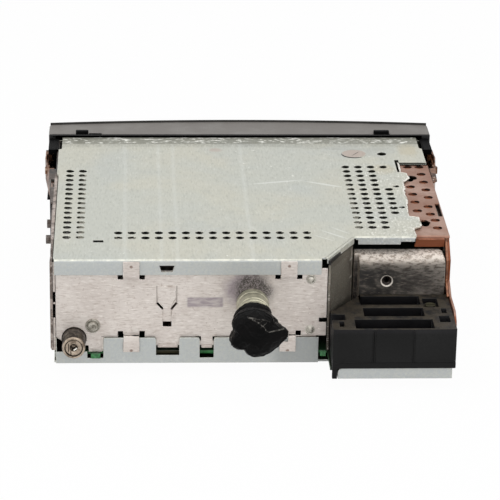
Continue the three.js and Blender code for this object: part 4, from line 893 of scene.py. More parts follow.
def make_tape():
    finish = Finish("black vinyl tape", "020202", roughness=0.42)
    finish.shader.inputs["Specular IOR Level"].default_value = 0.07
    clouds = finish.grain(0.006, detail=5)
    finish.coat("070606", finish.between(clouds, 0.4, 0.66))
    lint = finish.between(finish.grain(0.0007, detail=5, rough=0.7), 0.62, 0.72, 0, 0.5)
    finish.coat("2a2622", lint)
    wear_and_sheen = finish.add("Attribute", attribute_name="wear_and_sheen").outputs["Fac"]
    rubbed = finish.between(finish.grain(0.0009, detail=5, rough=0.7), 0.4, 0.6, 0.1, 1)
    # pale on the pinched ridges: wear, and a painted highlight for their gloss
    ridge = finish.times(finish.between(wear_and_sheen, 0.12, 0.4), rubbed)
    finish.coat("77746e", ridge)
    finish.roughness(clouds, 0.3, 0.7, 0.3, 0.5)
    finish.bump(finish.grain(0.0012, detail=4), 0.00015, 0.5)
    return finish.closed()


def make_clear():
    finish = Finish("clear acrylic", "f4f6f4", roughness=0.05)
    finish.shader.inputs["Transmission Weight"].default_value = 1
    finish.shader.inputs["IOR"].default_value = 1.49
    haze = finish.grain(0.01, detail=3)
    finish.coat("e6eae8", finish.between(haze, 0.4, 0.7))
    finish.roughness(haze, 0.3, 0.7, 0.03, 0.08)
    return finish.closed()


board = make_board()
tape = make_tape()
clear = make_clear()
print(len(bpy.data.materials), "materials so far")

# %% [markdown]
# ## Giving each part its finish
# Every part of the frame belongs to one material slot of the record. The table below names the
# finish for each slot, and a second, shorter one names the parts that differ from their slot.

# %% Assign the finishes
slot_finish = {
    "zinc": zinc, "tin": tin, "copper": copper, "bronze": bronze, "aluminium": aluminium,
    "plating": plating, "brass": brass, "black": black, "grey": make_fascia_plastic(), "tape": tape,
    "white": white, "board": board, "clear": clear, "red": red,
}
own_finish = {
    "top_cover": cover_zinc, "rear_panel": panel_tin, "recess_wall": wall_tin,
    "right_side_wall": wall_tin, "left_side_wall": side_tin, "connector_housing": phenolic,
    "connector_screw": dull_plating, "rear_support_stud": old_plating,
    "aerial_socket_shell": aerial_plating, "aerial_socket_contact": aerial_plating,
    "aerial_socket_insulator": brown, "dial_scale": dial_black,
}


def finish_of(node):
    return own_finish.get(node, slot_finish[slot_of[node]])


for node, part in nodes.items():
    part.data.materials.clear()
    part.data.materials.append(finish_of(node))
print(len(bpy.data.materials), "finishes on", len(nodes), "parts")

# %% [markdown]
# ## From frame part to finished part
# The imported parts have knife-sharp edges. Real sheet has a rounded, shiny edge where the shear cut
# it, and real mouldings have a small radius in every corner, and those thin highlights are what
# make them look solid. So most parts are copied, their loose triangles are merged into faces, and a
# Bevel modifier rounds the edges that are sharper than a set angle. The copy then stands for the
# part.

# %% Helpers for pieces
WELD = 0.00002
FLAT = math.radians(0.6)


def merge_flat(form):
    """Makes one large face of the triangles that lie in a plane."""
    bmesh.ops.dissolve_limit(
        form, angle_limit=FLAT, verts=form.verts, edges=form.edges, use_dissolve_boundaries=False,
    )


def merged_copy(node):
    """The mesh of a frame part as one closed form with large faces."""
    form = bmesh.new()
    form.from_mesh(nodes[node].data)
    bmesh.ops.remove_doubles(form, verts=form.verts, dist=WELD)
    merge_flat(form)
    return form


def add_piece(form, name, *finishes, smooth=35):
    """Makes a form an object with its finishes, shaded smooth except over sharp edges."""
    mesh = bpy.data.meshes.new(name)
    for face in form.faces:
        face.material_index = 0
    form.to_mesh(mesh)
    form.free()
    for finish in finishes:
        mesh.materials.append(finish)
    mesh.shade_smooth()
    mesh.set_sharp_from_angle(angle=math.radians(smooth))
    piece = bpy.data.objects.new(name, mesh)
    bpy.context.collection.objects.link(piece)
    return piece


def stand_for(piece, *replaced):
    """Lets a piece ride with the parts that it stands for, and hides those parts."""
    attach(piece, body_of[replaced[0]])
    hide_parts(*replaced)
    return piece


def belong(piece, node):
    """Lets an added piece ride with a part."""
    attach(piece, body_of[node])
    return piece


def round_edges(piece, width, segments=2, angle=30, material=-1):
    bevel = piece.modifiers.new("rounded edges", "BEVEL")
    bevel.width = width
    bevel.segments = segments
    bevel.limit_method = "ANGLE"
    bevel.angle_limit = math.radians(angle)
    bevel.use_clamp_overlap = False
    bevel.harden_normals = False
    bevel.material = material
    return piece


def dress(node, width):
    """A rounded copy of a part in the part's own finish."""
    piece = add_piece(merged_copy(node), node + "_rounded", finish_of(node))
    return stand_for(round_edges(piece, width), node)


print("weld distance", WELD)

# %% [markdown]
# ## Cutting and turning
# More helpers make shapes from scratch. Blocks, pegs and drawn-out outlines are joined in one tool,
# and a Boolean takes it out of a piece, as a punch does. Another helper spins a half outline about
# an axis from front to back, as a lathe does, and is used for the stud, the screw, the rivets, the
# aerial socket and the knobs.

# %% Helpers for punched and turned shapes
PEG_SIDES = 32


def blocks(form, *rows):
    """Adds a block for each row of left, rear, bottom, right, front and top in millimetres."""
    for row in rows:
        low, high = at(*row[:3]), at(*row[3:])
        size = [abs(value) for value in high - low]
        matrix = Matrix.Translation((low + high) / 2) @ Matrix.Diagonal((*size, 1))
        bmesh.ops.create_cube(form, size=1, matrix=matrix)
    return form


def peg(form, place, across, along, tall):
    """Adds an upright round or oval peg, with its sizes in millimetres."""
    matrix = Matrix.Translation(place) @ Matrix.Diagonal((across * MM, along * MM, tall * MM, 1))
    bmesh.ops.create_cone(
        form, cap_ends=True, segments=PEG_SIDES, radius1=0.5, radius2=0.5, depth=1, matrix=matrix,
    )


def drawn_out(form, spots, along):
    """Makes a face of some places and draws it out along a way, as a bar is rolled."""
    face = form.faces.new([form.verts.new(spot) for spot in spots])
    swept = bmesh.ops.extrude_face_region(form, geom=[face])["geom"]
    moved = [part for part in swept if isinstance(part, bmesh.types.BMVert)]
    bmesh.ops.translate(form, verts=moved, vec=along)
    bmesh.ops.recalc_face_normals(form, faces=form.faces)
    return form


def cut_form(form, tool, merge=True):
    """Takes the shapes of one form out of another and returns the rest, with flat faces merged."""
    part = add_piece(form, "blank")
    cutter = add_piece(tool, "cutter")
    punch = part.modifiers.new("punch", "BOOLEAN")
    punch.operation = "DIFFERENCE"
    punch.solver = "EXACT"
    punch.object = cutter
    graph = bpy.context.evaluated_depsgraph_get()
    mesh = bpy.data.meshes.new_from_object(part.evaluated_get(graph))
    rest = bmesh.new()
    rest.from_mesh(mesh)
    bpy.data.objects.remove(cutter)
    bpy.data.objects.remove(part)
    bpy.data.meshes.remove(mesh)
    bmesh.ops.remove_doubles(rest, verts=rest.verts, dist=WELD / 4)
    if merge:
        merge_flat(rest)
    return rest


def punched(node, tool, name, *finishes, smooth=35):
    """A piece that is a frame part less the shapes of a tool."""
    return add_piece(cut_form(merged_copy(node), tool), name, *finishes, smooth=smooth)


def spun(place, outline, segments=64, closed=False):
    """Turns an outline of (radius, way ahead) pairs in millimetres about an axis through a place."""
    form = bmesh.new()
    places = [place + Vector((radius * MM, -ahead * MM, 0)) for radius, ahead in outline]
    spots = [form.verts.new(spot) for spot in places]
    lines = [form.edges.new(pair) for pair in zip(spots, spots[1:])]
    if closed:
        lines.append(form.edges.new((spots[-1], spots[0])))
    bmesh.ops.spin(
        form, geom=spots + lines, cent=place, axis=(0, 1, 0), angle=math.tau, steps=segments,
        use_merge=True,
    )
    bmesh.ops.remove_doubles(form, verts=form.verts, dist=WELD / 4)
    bmesh.ops.recalc_face_normals(form, faces=form.faces)
    return form


print("helpers ready")

# %% [markdown]
# ## Sheet metal, mouldings and small hardware
# One table says how much each part is rounded: a tenth of a millimetre or two for sheet, and more
# for mouldings.

# %% Round the plain parts
edge_widths = {
    "right_side_wall": 0.15, "recess_wall": 0.15, "front_frame": 0.2, "tuner_box": 0.3,
    "front_fascia": 0.7, "amplifier_chip": 0.3, "left_side_clip": 0.12, "right_side_clip": 0.12,
    "front_contact_row": 0.08, "middle_contact_row": 0.08, "rear_contact_row": 0.08,
    "main_circuit_board": 0.15, "front_circuit_board": 0.15, "connector_housing": 0.3,
    **{"preset_button_" + count: 0.5 for count in "12345"},
    "band_button_1": 0.5, "band_button_2": 0.5, "dial_window": 0.3, "dial_scale": 0.1,
    "dial_pointer": 0.2,
}
rounded = {node: dress(node, width * MM) for node, width in edge_widths.items()}
print(len(rounded), "parts rounded")

# %% [markdown]
# ## The top cover
# The cover is the part that is seen most. Its rear edge is bent down over a former, so the bend is
# a soft round of about a millimetre, not a crease. Where a relief was cut at the corners of the
# recess the flange stops short, and at the right the sheet has been torn away along the vents. The
# Bevel operator rounds only the edges whose two faces look up and back, a Boolean cuts the reliefs,
# and a Bevel modifier thins every other edge.

# %% Bend and cut the cover
BEND_WIDTH = 0.0011
BEND_ABOVE = 0.04
SHORTEST_BEND = 0.008
SAME_WAY = 0.95
UPWARD, BACKWARD = Vector((0, 0, 1)), Vector((0, 1, 0))


def looks(face, direction):
    return face.normal.dot(direction) > SAME_WAY


def bend_edges(form):
    """The outer edges between a face that looks up and one that looks back."""
    form.normal_update()
    found = []
    for edge in form.edges:
        high = min(vertex.co.z for vertex in edge.verts) > BEND_ABOVE
        if len(edge.link_faces) == 2 and high and edge.is_convex:
            ways = sorted((looks(face, UPWARD), looks(face, BACKWARD)) for face in edge.link_faces)
            if ways == [(False, True), (True, False)] and edge.calc_length() > SHORTEST_BEND:
                found.append(edge)
    return found


def bend(form):
    edges = bend_edges(form)
    bmesh.ops.bevel(
        form, geom=edges, offset=BEND_WIDTH, affect="EDGES", segments=4, profile=0.5, material=-1,
        clamp_overlap=False,
    )
    print(len(edges), "bends rounded")
    return form


def make_cover():
    """The blocks are the reliefs and a slot, and the last is the gap beside the torn stretch."""
    tool = blocks(
        bmesh.new(), (118.4, -3, 44.2, 121.6, 1.2, 50), (133.6, 24, 43, 136.5, 26.9, 47.6),
        (155.6, 24, 43, 162, 26.9, 46.7), (18.7, 19.2, 47.6, 23.2, 21.6, 50),
        (162.2, 108, 48, 164, 124.5, 50),
    )
    for ahead in (88.8, 61.7):
        peg(tool, at(159.6, ahead, 49), 2.8, 2.6, 6)
    form = bend(cut_form(merged_copy("top_cover"), tool))
    piece = add_piece(form, "top_cover_bent", cover_zinc)
    return stand_for(round_edges(piece, 0.12 * MM, angle=40), "top_cover")


cover = make_cover()
print("cover faces", len(cover.data.polygons))

# %% [markdown]
# ## The slanted flange and the torn edge
# Along the slanted side of the recess the cover is bent down too, outside the wall. At the tear the
# steel has been pulled out into a thin ragged rim that shines because its zinc is gone. The rim
# starts from the cover's own torn edges: they are copied, cut into short lengths, pushed in and out
# at random, pulled out into a ribbon and given a thickness.

# %% Add the slanted flange and the torn rim
RIM_SEED = 7
RIM_OUT = 0.7 * MM
RIM_WOBBLE = 0.3 * MM
RIM_LIFT = 0.12 * MM
RIM_THICK = 0.16 * MM
TEAR_LEFT, TEAR_RIGHT, TEAR_REAR, TEAR_FRONT, TEAR_UP = 153, 172, 25, 121.5, 48.9
HOLE_EDGE = 0.0011
SLIVER = 1e-7


def add_slanted_flange():
    start, end = at(120.3, 0.9, 0), at(133.7, 24.4, 0)
    along = end - start
    outward = Vector((-along.y, along.x, 0)).normalized()
    if outward.y < 0:
        outward = -outward
    outline = [(-0.2, 49.17), (1.1, 49.17), (1.1, 46.4), (0.5, 46.4), (0.5, 48.4), (-0.2, 48.4)]
    spots = [start + outward * out * MM + Vector((0, 0, up * MM)) for out, up in outline]
    piece = add_piece(drawn_out(bmesh.new(), spots, along), "slanted_flange", zinc)
    return belong(round_edges(piece, 0.25 * MM, segments=3), "top_cover")


def in_tear(place):
    right, ahead, up = where(place)
    return TEAR_LEFT < right < TEAR_RIGHT and TEAR_REAR < ahead < TEAR_FRONT and up > TEAR_UP


def torn_edges(form):
    """The cover's upper cut edges along the tear, without the short ones round a hole."""
    found = []
    for edge in form.edges:
        torn = all(in_tear(vertex.co) for vertex in edge.verts)
        if torn and len(edge.link_faces) == 2 and edge.calc_length() >= HOLE_EDGE:
            tops = [face for face in edge.link_faces if looks(face, UPWARD)]
            sides = [
                face for face in edge.link_faces
                if abs(face.normal.z) < 0.2 and face.calc_area() > SLIVER
            ]
            if tops and sides:
                found.append(edge)
    return found


def add_torn_rim():
    source = merged_copy("top_cover")
    source.normal_update()
    form = bmesh.new()
    for edge in torn_edges(source):
        form.edges.new([form.verts.new(vertex.co) for vertex in edge.verts])
    source.free()
    bmesh.ops.remove_doubles(form, verts=form.verts, dist=WELD)
    bmesh.ops.subdivide_edges(form, edges=form.edges, cuts=5)
    noise.seed_set(RIM_SEED)
    for vertex in form.verts:
        vertex.co.x += 0.35 * MM + RIM_WOBBLE * noise.noise(vertex.co * 900)
        vertex.co.z += RIM_LIFT
    pulled = bmesh.ops.extrude_edge_only(form, edges=form.edges)["geom"]
    for vertex in [part for part in pulled if isinstance(part, bmesh.types.BMVert)]:
        jag = noise.noise(vertex.co * 1400)
        vertex.co += Vector((-RIM_OUT * (1 + jag), 0.4 * MM * jag, -0.25 * MM * (1 + jag)))
    bmesh.ops.recalc_face_normals(form, faces=form.faces)
    bmesh.ops.solidify(form, geom=form.faces, thickness=RIM_THICK)
    bmesh.ops.recalc_face_normals(form, faces=form.faces)
    return belong(add_piece(form, "torn_rim", bare_steel), "top_cover")


slanted_flange = add_slanted_flange()
torn_rim = add_torn_rim()
print("rim faces", len(torn_rim.data.polygons))

# %% [markdown]
# ## The rear panel, the copper and the heat sink
# The rear panel gets its corner relief, two slits at the shoulders of the key-shaped boss, and thin
# bright edges round its tongues and slots. The copper sheet is bent at the recess like the cover,
# two long holes lie half under the torn edge, and its side has a folded hem at the rear. The heat
# sink's long round is an outline that is drawn out and cut away. The lower cover's flange is open
# beside the aerial socket, where the circuit board shows, and the left wall stops short of the
# base.

# %% Cut the metal parts at the rear
ROUND_DEEP = 10
ROUND_HIGH = 3.6
ROUND_STEPS = 16
SLIT_WIDE = 0.001


def slit(form, start, end):
    """Adds a slanted block through the panel, between two places on its face."""
    along = end - start
    turn = Matrix.Rotation(math.atan2(-along.z, along.x), 4, "Y")
    size = Matrix.Diagonal((along.length, 4 * MM, SLIT_WIDE, 1))
    bmesh.ops.create_cube(form, size=1, matrix=Matrix.Translation((start + end) / 2) @ turn @ size)


def make_rear_panel():
    tool = blocks(bmesh.new(), (118.6, -3, 44.4, 123, 1.6, 49.5), (49.2, -3, 17, 53, 1.6, 19.6))
    blocks(tool, *[(left, -3, 10.4, left + 2.4, 1.6, 13.4) for left in (29.6, 38.9, 81, 102)])
    slit(tool, at(46.7, 0, 28.3), at(49.3, 0, 25.2))
    slit(tool, at(52.9, 0, 25.2), at(55.3, 0, 28.3))
    piece = punched("rear_panel", tool, "rear_panel_cut", panel_tin, worn_tin)
    return stand_for(round_edges(piece, 0.22 * MM, material=1), "rear_panel")


def make_copper_sheet():
    tool = bmesh.new()
    peg(tool, at(167.3, 102.5, 47.5), 3.8, 8, 5)
    peg(tool, at(168.4, 45, 47.5), 4, 8, 5)
    blocks(tool, (162.2, 108, 45, 164, 124.5, 49), (159, 24, 40, 161.8, 27.5, 47))
    form = bend(cut_form(merged_copy("copper_heat_spreader"), tool))
    piece = add_piece(form, "heat_spreader_bent", copper)
    return stand_for(round_edges(piece, 0.18 * MM, angle=40), "copper_heat_spreader")


def make_heat_sink():
    """The extruded block has a long, shallow round along its upper rear edge."""
    top, back = 41.2, 20
    outline = [(back - 1, top - ROUND_HIGH), (back - 1, top + 1), (back + ROUND_DEEP, top + 1)]
    for step in range(ROUND_STEPS + 1):
        angle = math.radians(90 * step / ROUND_STEPS)
        ahead = back + ROUND_DEEP * (1 - math.sin(angle))
        outline.append((ahead, top - ROUND_HIGH * (1 - math.cos(angle))))
    spots = [at(134, ahead, up) for ahead, up in outline]
    tool = drawn_out(bmesh.new(), spots, at(178, 0, 0) - at(134, 0, 0))
    piece = punched("heat_sink", tool, "heat_sink_rounded", aluminium, smooth=25)
    return stand_for(round_edges(piece, 0.5 * MM, segments=3, angle=50), "heat_sink")


def make_notched(node, finish, width, notch):
    """A part in its finish with one block cut out of it."""
    piece = punched(node, blocks(bmesh.new(), notch), node + "_cut", finish)
    return stand_for(round_edges(piece, width), node)


def add_wall_return():
    """Short strips that close the corner between the left wall and the rear panel."""
    stretches = ((6, 21.6), (28, 28.8), (33.8, 47.6))
    form = blocks(bmesh.new(), *[(1.25, -0.4, low, 2.25, 0.4, high) for low, high in stretches])
    return belong(round_edges(add_piece(form, "wall_return", tin), 0.1 * MM), "left_side_wall")


def add_copper_hem():
    """The rear edge of the copper side is folded inwards, which makes it look thicker."""
    edge = [(29.2, 46.8), (29.4, 45.6), (22.1, 39), (22.6, 29.4), (14.6, 25), (14.6, 24.2)]
    outline = edge + [(ahead + 2.5, up) for ahead, up in reversed(edge)]
    spots = [at(175.9, ahead, up) for ahead, up in outline]
    form = drawn_out(bmesh.new(), spots, at(177.1, 0, 0) - at(175.9, 0, 0))
    piece = round_edges(add_piece(form, "copper_hem", hem_copper), 0.3 * MM, segments=3)
    return belong(piece, "copper_heat_spreader")


rear_panel = make_rear_panel()
heat_spreader = make_copper_sheet()
copper_hem = add_copper_hem()
heat_sink = make_heat_sink()
bottom_cover = make_notched("bottom_cover", zinc, 0.2 * MM, (2.7, -4, 5.6, 16.4, 0.4, 12.6))
left_wall = make_notched("left_side_wall", side_tin, 0.15 * MM, (-4, -2, -1, 2, 12, 7))
wall_return = add_wall_return()
print("panel faces", len(rear_panel.data.polygons), "copper faces", len(heat_spreader.data.polygons))

# %% [markdown]
# ## The support stud, the screw and the rivets
# These are turned parts, so each is one spin of a half outline. The stud has a foot against the
# panel and two narrow grooves. The screw that holds the panel is worn so smooth that only its rings
# are left, and the rivets are low domes with a thin brim.

# %% Turn the hardware
def add_turned(name, node, place, outline, finish, segments=64):
    return stand_for(add_piece(spun(place, outline, segments), name, finish, smooth=40), node)


stud_outline = [
    (0, 6), (6.4, 6), (6.9, 5.6), (6.9, 0.2), (7.1, 0), (7.1, -3.2), (6.9, -3.4), (6.9, -9),
    (6.45, -9.2), (6.45, -9.9), (6.9, -10.1), (6.9, -11.5), (6.45, -11.7), (6.45, -12.4),
    (6.9, -12.6), (6.9, -30.3), (6.2, -31), (0, -31),
]
stud = add_turned("turned_stud", "rear_support_stud", at(88.5, 0, 27.8), stud_outline, old_plating)
screw_outline = [
    (0, 5), (1.2, 4.6), (1.2, 0.4), (3.3, 0.1), (3.3, -0.45), (3.1, -0.7), (2.85, -0.7), (2.6, -0.3),
    (2.4, -0.3), (2.25, -1.2), (2, -1.7), (1.3, -1.9), (1.1, -1.6), (0.5, -1.55), (0.35, -1.2),
    (0, -1.2),
]
screw_place = at(18.6, 0, 17.5)
panel_screw = add_turned("worn_screw", "rear_panel_screw", screw_place, screw_outline, plating, 48)
rivet_outline = [
    (0, 2.4), (1.2, 2.2), (1.2, 0.05), (2.2, 0), (2.2, -0.2), (1.6, -0.3), (1.35, -0.75),
    (0.8, -1.02), (0, -1.1),
]
rivets = [
    add_turned("rivet_" + count, "panel_rivet_" + count, at(114, 0, up), rivet_outline, plating, 32)
    for count, up in (("1", 39.4), ("2", 15.4))
]
print("turned", stud.name, panel_screw.name, [rivet.name for rivet in rivets])

# %% [markdown]
# ## The aerial socket
# The socket is a sleeve with a thick front rim, stained brown and painted with shade round its side.
# In its bore sits a pressed contact cup that has been slit so that it springs, and the dark insulator
# shows round it, and a leaf of bright steel across its mouth is a painted highlight. The sleeve and
# the cup are spun, and two narrow blocks cut the slits.

# %% Build the aerial socket
AERIAL = at(10.3, 0, 11.4)


def make_aerial_sleeve():
    outline = [
        (6, 3.6), (6, 2.3), (5.35, 2.2), (5.1, 2), (5.1, -9.6), (4.9, -10.3), (4.5, -10.6),
        (4.05, -10.5), (3.9, -10), (3.9, 3.6),
    ]
    piece = add_piece(spun(AERIAL, outline, closed=True), "socket_sleeve", aerial_plating, smooth=40)
    return stand_for(piece, "aerial_socket_shell")


def make_contact_cup():
    """The cut faces stay unmerged, because a merge here doesn't leave the same points in each run."""
    outline = [
        (1.2, 3.1), (1.2, -5), (3.5, -6.6), (3.72, -9.8), (3.5, -10.1), (2.2, -10.15), (1.8, -9.9),
        (1.6, -9.2), (1.2, -6.6), (0.5, -6.2), (0.5, 3.1),
    ]
    tool = blocks(bmesh.new(), (7.9, -11, 9.6, 8.3, -7.6, 13.4), (8.9, -11, 7.6, 9.3, -7.6, 10.6))
    form = cut_form(spun(AERIAL, outline, segments=48, closed=True), tool, merge=False)
    piece = add_piece(form, "contact_cup", aerial_plating, smooth=40)
    return stand_for(piece, "aerial_socket_contact")


def add_contact_glint():
    """A spring leaf across the mouth of the contact, in bright steel as a painted highlight."""
    form = bmesh.new()
    turn = Matrix.Rotation(math.radians(35), 4, "Y")
    size = Matrix.Diagonal((1.9 * MM, 0.9 * MM, 0.7 * MM, 1))
    bmesh.ops.create_cube(form, size=1, matrix=Matrix.Translation(at(11, -9.4, 10.5)) @ turn @ size)
    piece = add_piece(form, "contact_glint", bare_steel)
    return belong(round_edges(piece, 0.25 * MM, segments=3), "aerial_socket_contact")


sleeve = make_aerial_sleeve()
contact_cup = make_contact_cup()
contact_glint = add_contact_glint()
print("socket faces", len(sleeve.data.polygons) + len(contact_cup.data.polygons))

# %% [markdown]
# ## The wound tape
# Old vinyl tape wound over a stud is never a clean sleeve: it has ridges where a layer ends, folds
# where it was pinched, a lobe where the end was pressed on, and a net of fine creases. The frame
# has the lump itself. Its mesh is made finer, the outline is pulled in where layers part, and every
# vertex then moves in or out by a few tenths of a millimetre: slanted steps for the layers, ridges
# for the pinched folds, and a net of cells for the creases.

# %% Wind the tape
TAPE_AXIS = at(88.5, 0, 27.8)
TAPE_PITCH = 0.0052
TAPE_STEP = 0.0003
TAPE_CREASE = 0.00025
TAPE_WRINKLE = 0.0001
TAPE_REAR = at(0, -31, 0).y
TAPE_END = at(80.6, -25.2, 22.6)
PARTINGS = ((180, 11, 0.13), (238, 8, 0.12), (27, 13, 0.12), (335, 22, -0.12), (280, 32, -0.05))
FOLDS = (
    (at(84.7, 0, 36.0), at(88.2, 0, 35.6), 0.45, 0.40),
    (at(88.2, 0, 35.6), at(91.7, 0, 35.2), 0.22, 0.40),
    (at(91.7, 0, 35.2), at(94.7, 0, 34.0), 0.20, 0.30),
    (at(86.5, 0, 35.3), at(89.5, 0, 34.0), 0.25, 0.45),
    (at(89.5, 0, 34.0), at(91.8, 0, 31.8), 0.25, 0.50),
    (at(91.8, 0, 31.8), at(94.3, 0, 29.7), 0.25, 0.45),
    (at(94.3, 0, 29.7), at(102.1, 0, 29.7), 0.30, 0.50),
    (at(90.1, 0, 31.5), at(93.0, 0, 33.8), 0.20, 0.35),
    (at(88.4, 0, 32.9), at(91.7, 0, 35.2), 0.20, 0.30),
)


def turn_of(place):
    """The turn of a place about the stud in degrees, from the right and upwards."""
    off = place - TAPE_AXIS
    return math.degrees(math.atan2(off.z, -off.x)) % 360


def parting(place):
    """The share by which the outline is pulled in where two layers part."""
    pulled = 0
    for middle, reach, depth in PARTINGS:
        away = abs((turn_of(place) - middle + 180) % 360 - 180)
        pulled += depth * math.exp(-((away / reach) ** 2))
    return pulled


def fold_height(place):
    """Ridges that were pinched up between two fingers, from one end to the other."""
    height = 0
    for start, end, width, tall in FOLDS:
        along = end - start
        off = place - start
        share = (off.x * along.x + off.z * along.z) / (along.x ** 2 + along.z ** 2)
        share = min(1, max(0, share))
        away = math.hypot(off.x - along.x * share, off.z - along.z * share) / (width * MM)
        height = max(height, tall * MM * math.exp(-away ** 2))
    return height


def tape_height(place):
    """How far the surface stands out at a place, in metres."""
    along = (place - TAPE_AXIS).y / TAPE_PITCH + turn_of(place) / 360
    step = ((along + 0.25 * noise.noise(place * 150)) % 1.0) ** 3
    borders = noise.voronoi(place * 210)[0]
    crease = max(0.0, 1 - (borders[1] - borders[0]) * 5)
    wrinkle = noise.noise(place * 900)
    return TAPE_STEP * (step - 1) + TAPE_CREASE * (crease - 1) + TAPE_WRINKLE * (wrinkle - 1)


def wind_tape():
    form = bmesh.new()
    form.from_mesh(nodes["stud_tape"].data)
    bmesh.ops.remove_doubles(form, verts=form.verts, dist=WELD)
    for _ in range(3):
        bmesh.ops.subdivide_edges(form, edges=form.edges, cuts=1, use_grid_fill=True, smooth=0.6)
    bmesh.ops.triangulate(form, faces=form.faces)
    form.normal_update()
    moves = []
    wear_and_sheen = form.verts.layers.float.new("wear_and_sheen")
    for vertex in form.verts:
        off = vertex.co - TAPE_AXIS
        inward = Vector((off.x, 0, off.z)) * -parting(vertex.co)
        on_end = vertex.co.y > TAPE_REAR and vertex.normal.y > 0.2
        pinch = fold_height(vertex.co) if on_end else 0
        # the pinch height, which paints wear and a highlight on the ridges
        vertex[wear_and_sheen] = pinch / MM
        moves.append(inward + vertex.normal * (tape_height(vertex.co) + pinch - 0.25 * MM))
    for vertex, move in zip(form.verts, moves):
        vertex.co += move
    return stand_for(add_piece(form, "wound_tape", tape, smooth=60), "stud_tape")


def add_tape_end():
    """The loose end of the tape, pressed on as a small flat lobe at the lower left."""
    form = bmesh.new()
    matrix = Matrix.Translation(TAPE_END) @ Matrix.Diagonal((3.6 * MM, 5.4 * MM, 4.2 * MM, 1))
    bmesh.ops.create_icosphere(form, subdivisions=5, radius=1, matrix=matrix)
    for vertex in form.verts:
        away = (vertex.co - TAPE_END).normalized()
        vertex.co += away * (0.5 * MM * noise.noise(vertex.co * 350) + tape_height(vertex.co))
    return belong(add_piece(form, "tape_end", tape, smooth=60), "stud_tape")


wound_tape = wind_tape()
tape_end = add_tape_end()
print("tape faces", len(wound_tape.data.polygons) + len(tape_end.data.polygons))

# %% [markdown]
# ## The front moulding's lip, hooks and arms
# The front is the grey moulding that the dashboard frames. Along its top front edge it has a thin
# lip of black plastic, worn grey, that follows its slight curve, so the lip is one small outline
# spun through a few degrees about a far centre. Two black hooks stand at its rear edge, over the
# cover, and two black arms reach back beside the case.

# %% Add the lip, the hooks and the arms
FRONT_HALF = 93.4
FRONT_BOW = 4.6
FRONT_MIDDLE = 89.3
LIP_DEEP = 0.8


def add_front_lip():
    radius = FRONT_HALF ** 2 / (2 * FRONT_BOW) + FRONT_BOW / 2
    centre = at(FRONT_MIDDLE, 175.9 - radius, 0)
    swing = 2 * math.asin(FRONT_HALF / radius)
    form = bmesh.new()
    corners = [(0, 49.9), (0, 51.5), (-0.3, 51.8), (-LIP_DEEP, 51.8), (-LIP_DEEP, 49.9)]
    start = Matrix.Rotation(swing / 2, 4, "Z")
    spots = []
    for ahead, up in corners:
        spot = Vector((0, -(radius + ahead) * MM, UNDERSIDE_Z + up * MM))
        spots.append(form.verts.new(Vector((centre.x, centre.y, 0)) + start @ spot))
    bmesh.ops.spin(
        form, geom=[form.faces.new(spots)], cent=centre, axis=(0, 0, 1), angle=-swing, steps=48,
        use_merge=False,
    )
    bmesh.ops.recalc_face_normals(form, faces=form.faces)
    return belong(add_piece(form, "front_lip", worn_black), "front_fascia")


def add_hook(name, node, left, tall_right, right):
    """A hook with a tall part at the left and a low step at the right."""
    form = blocks(
        bmesh.new(), (left, 156.9, 49.5, tall_right, 159.2, 52.4),
        (tall_right + 0.1, 156.9, 49.5, right, 158.7, 50.8),
    )
    return stand_for(round_edges(add_piece(form, name, black), 0.3 * MM), node)


def add_arm(name, outer, inner, over, leg):
    """An arm in the shape of a C, over, ahead of and under the side spring."""
    form = blocks(
        bmesh.new(), (outer, 140.4, 46, inner, 156.3, 48.8), (inner, 140.4, 48.2, over, 156.3, 48.8),
        (outer, 150.9, 34.3, inner, 156.3, 46.9), (leg, 151, 34.4, outer, 156.2, 42),
        (outer, 112, 33.6, inner, 156.3, 34.2),
    )
    return belong(round_edges(add_piece(form, name, black), 0.15 * MM), "front_fascia")


front_lip = add_front_lip()
hooks = [
    add_hook("left_hook", "left_fascia_clip", 8.7, 14.8, 21.6),
    add_hook("right_hook", "right_fascia_clip", 155.2, 162.8, 163.3),
]
arms = [
    add_arm("left_front_arm", -4.3, -0.3, 0.6, -5.5),
    add_arm("right_front_arm", 182.3, 178.3, 177.7, 183.7),
]
print("front pieces", front_lip.name, [piece.name for piece in hooks + arms])

# %% [markdown]
# ## Knobs and rings
# The knobs of such a radio are pressed on a shaft and have fine flutes for the fingers. Each is
# turned first, with the bore for its shaft, and then every point of its skirt moves in or out with
# a wave round the axis. The flat rings behind them are the second, outer control and have a coarser
# knurl.

# %% Turn the knobs and rings
KNOB_UP = 22.8
LEFT_SHAFT, RIGHT_SHAFT = 15, 163
KNOB_FLUTES, RING_FLUTES = 36, 60


def flute(form, place, above, count, depth):
    """Waves the points further than a radius from the axis, `count` times round."""
    for vertex in form.verts:
        off = vertex.co - place
        radius = math.hypot(off.x, off.z)
        if radius > above:
            wave = math.cos(math.atan2(off.z, off.x) * count) - 1
            share = 1 + depth * wave / radius
            vertex.co.x = place.x + off.x * share
            vertex.co.z = place.z + off.z * share


def add_knob(name, node, right):
    place = at(right, 0, KNOB_UP)
    outline = [
        (0, 187.3), (3.3, 187.3), (3.3, 178.95), (9.6, 178.95), (10.3, 179.5), (10.4, 180.2),
        (10.3, 189.4), (9.9, 190.3), (9.2, 190.8), (8.4, 190.88), (7.9, 190.7), (7.6, 190.2),
        (0, 190.1),
    ]
    form = spun(place, outline, segments=216)
    flute(form, place, 10 * MM, KNOB_FLUTES, 0.22 * MM)
    blocks(form, (right - 0.35, 190.05, KNOB_UP + 2, right + 0.35, 190.5, KNOB_UP + 7.2))
    return stand_for(add_piece(form, name, black), node)


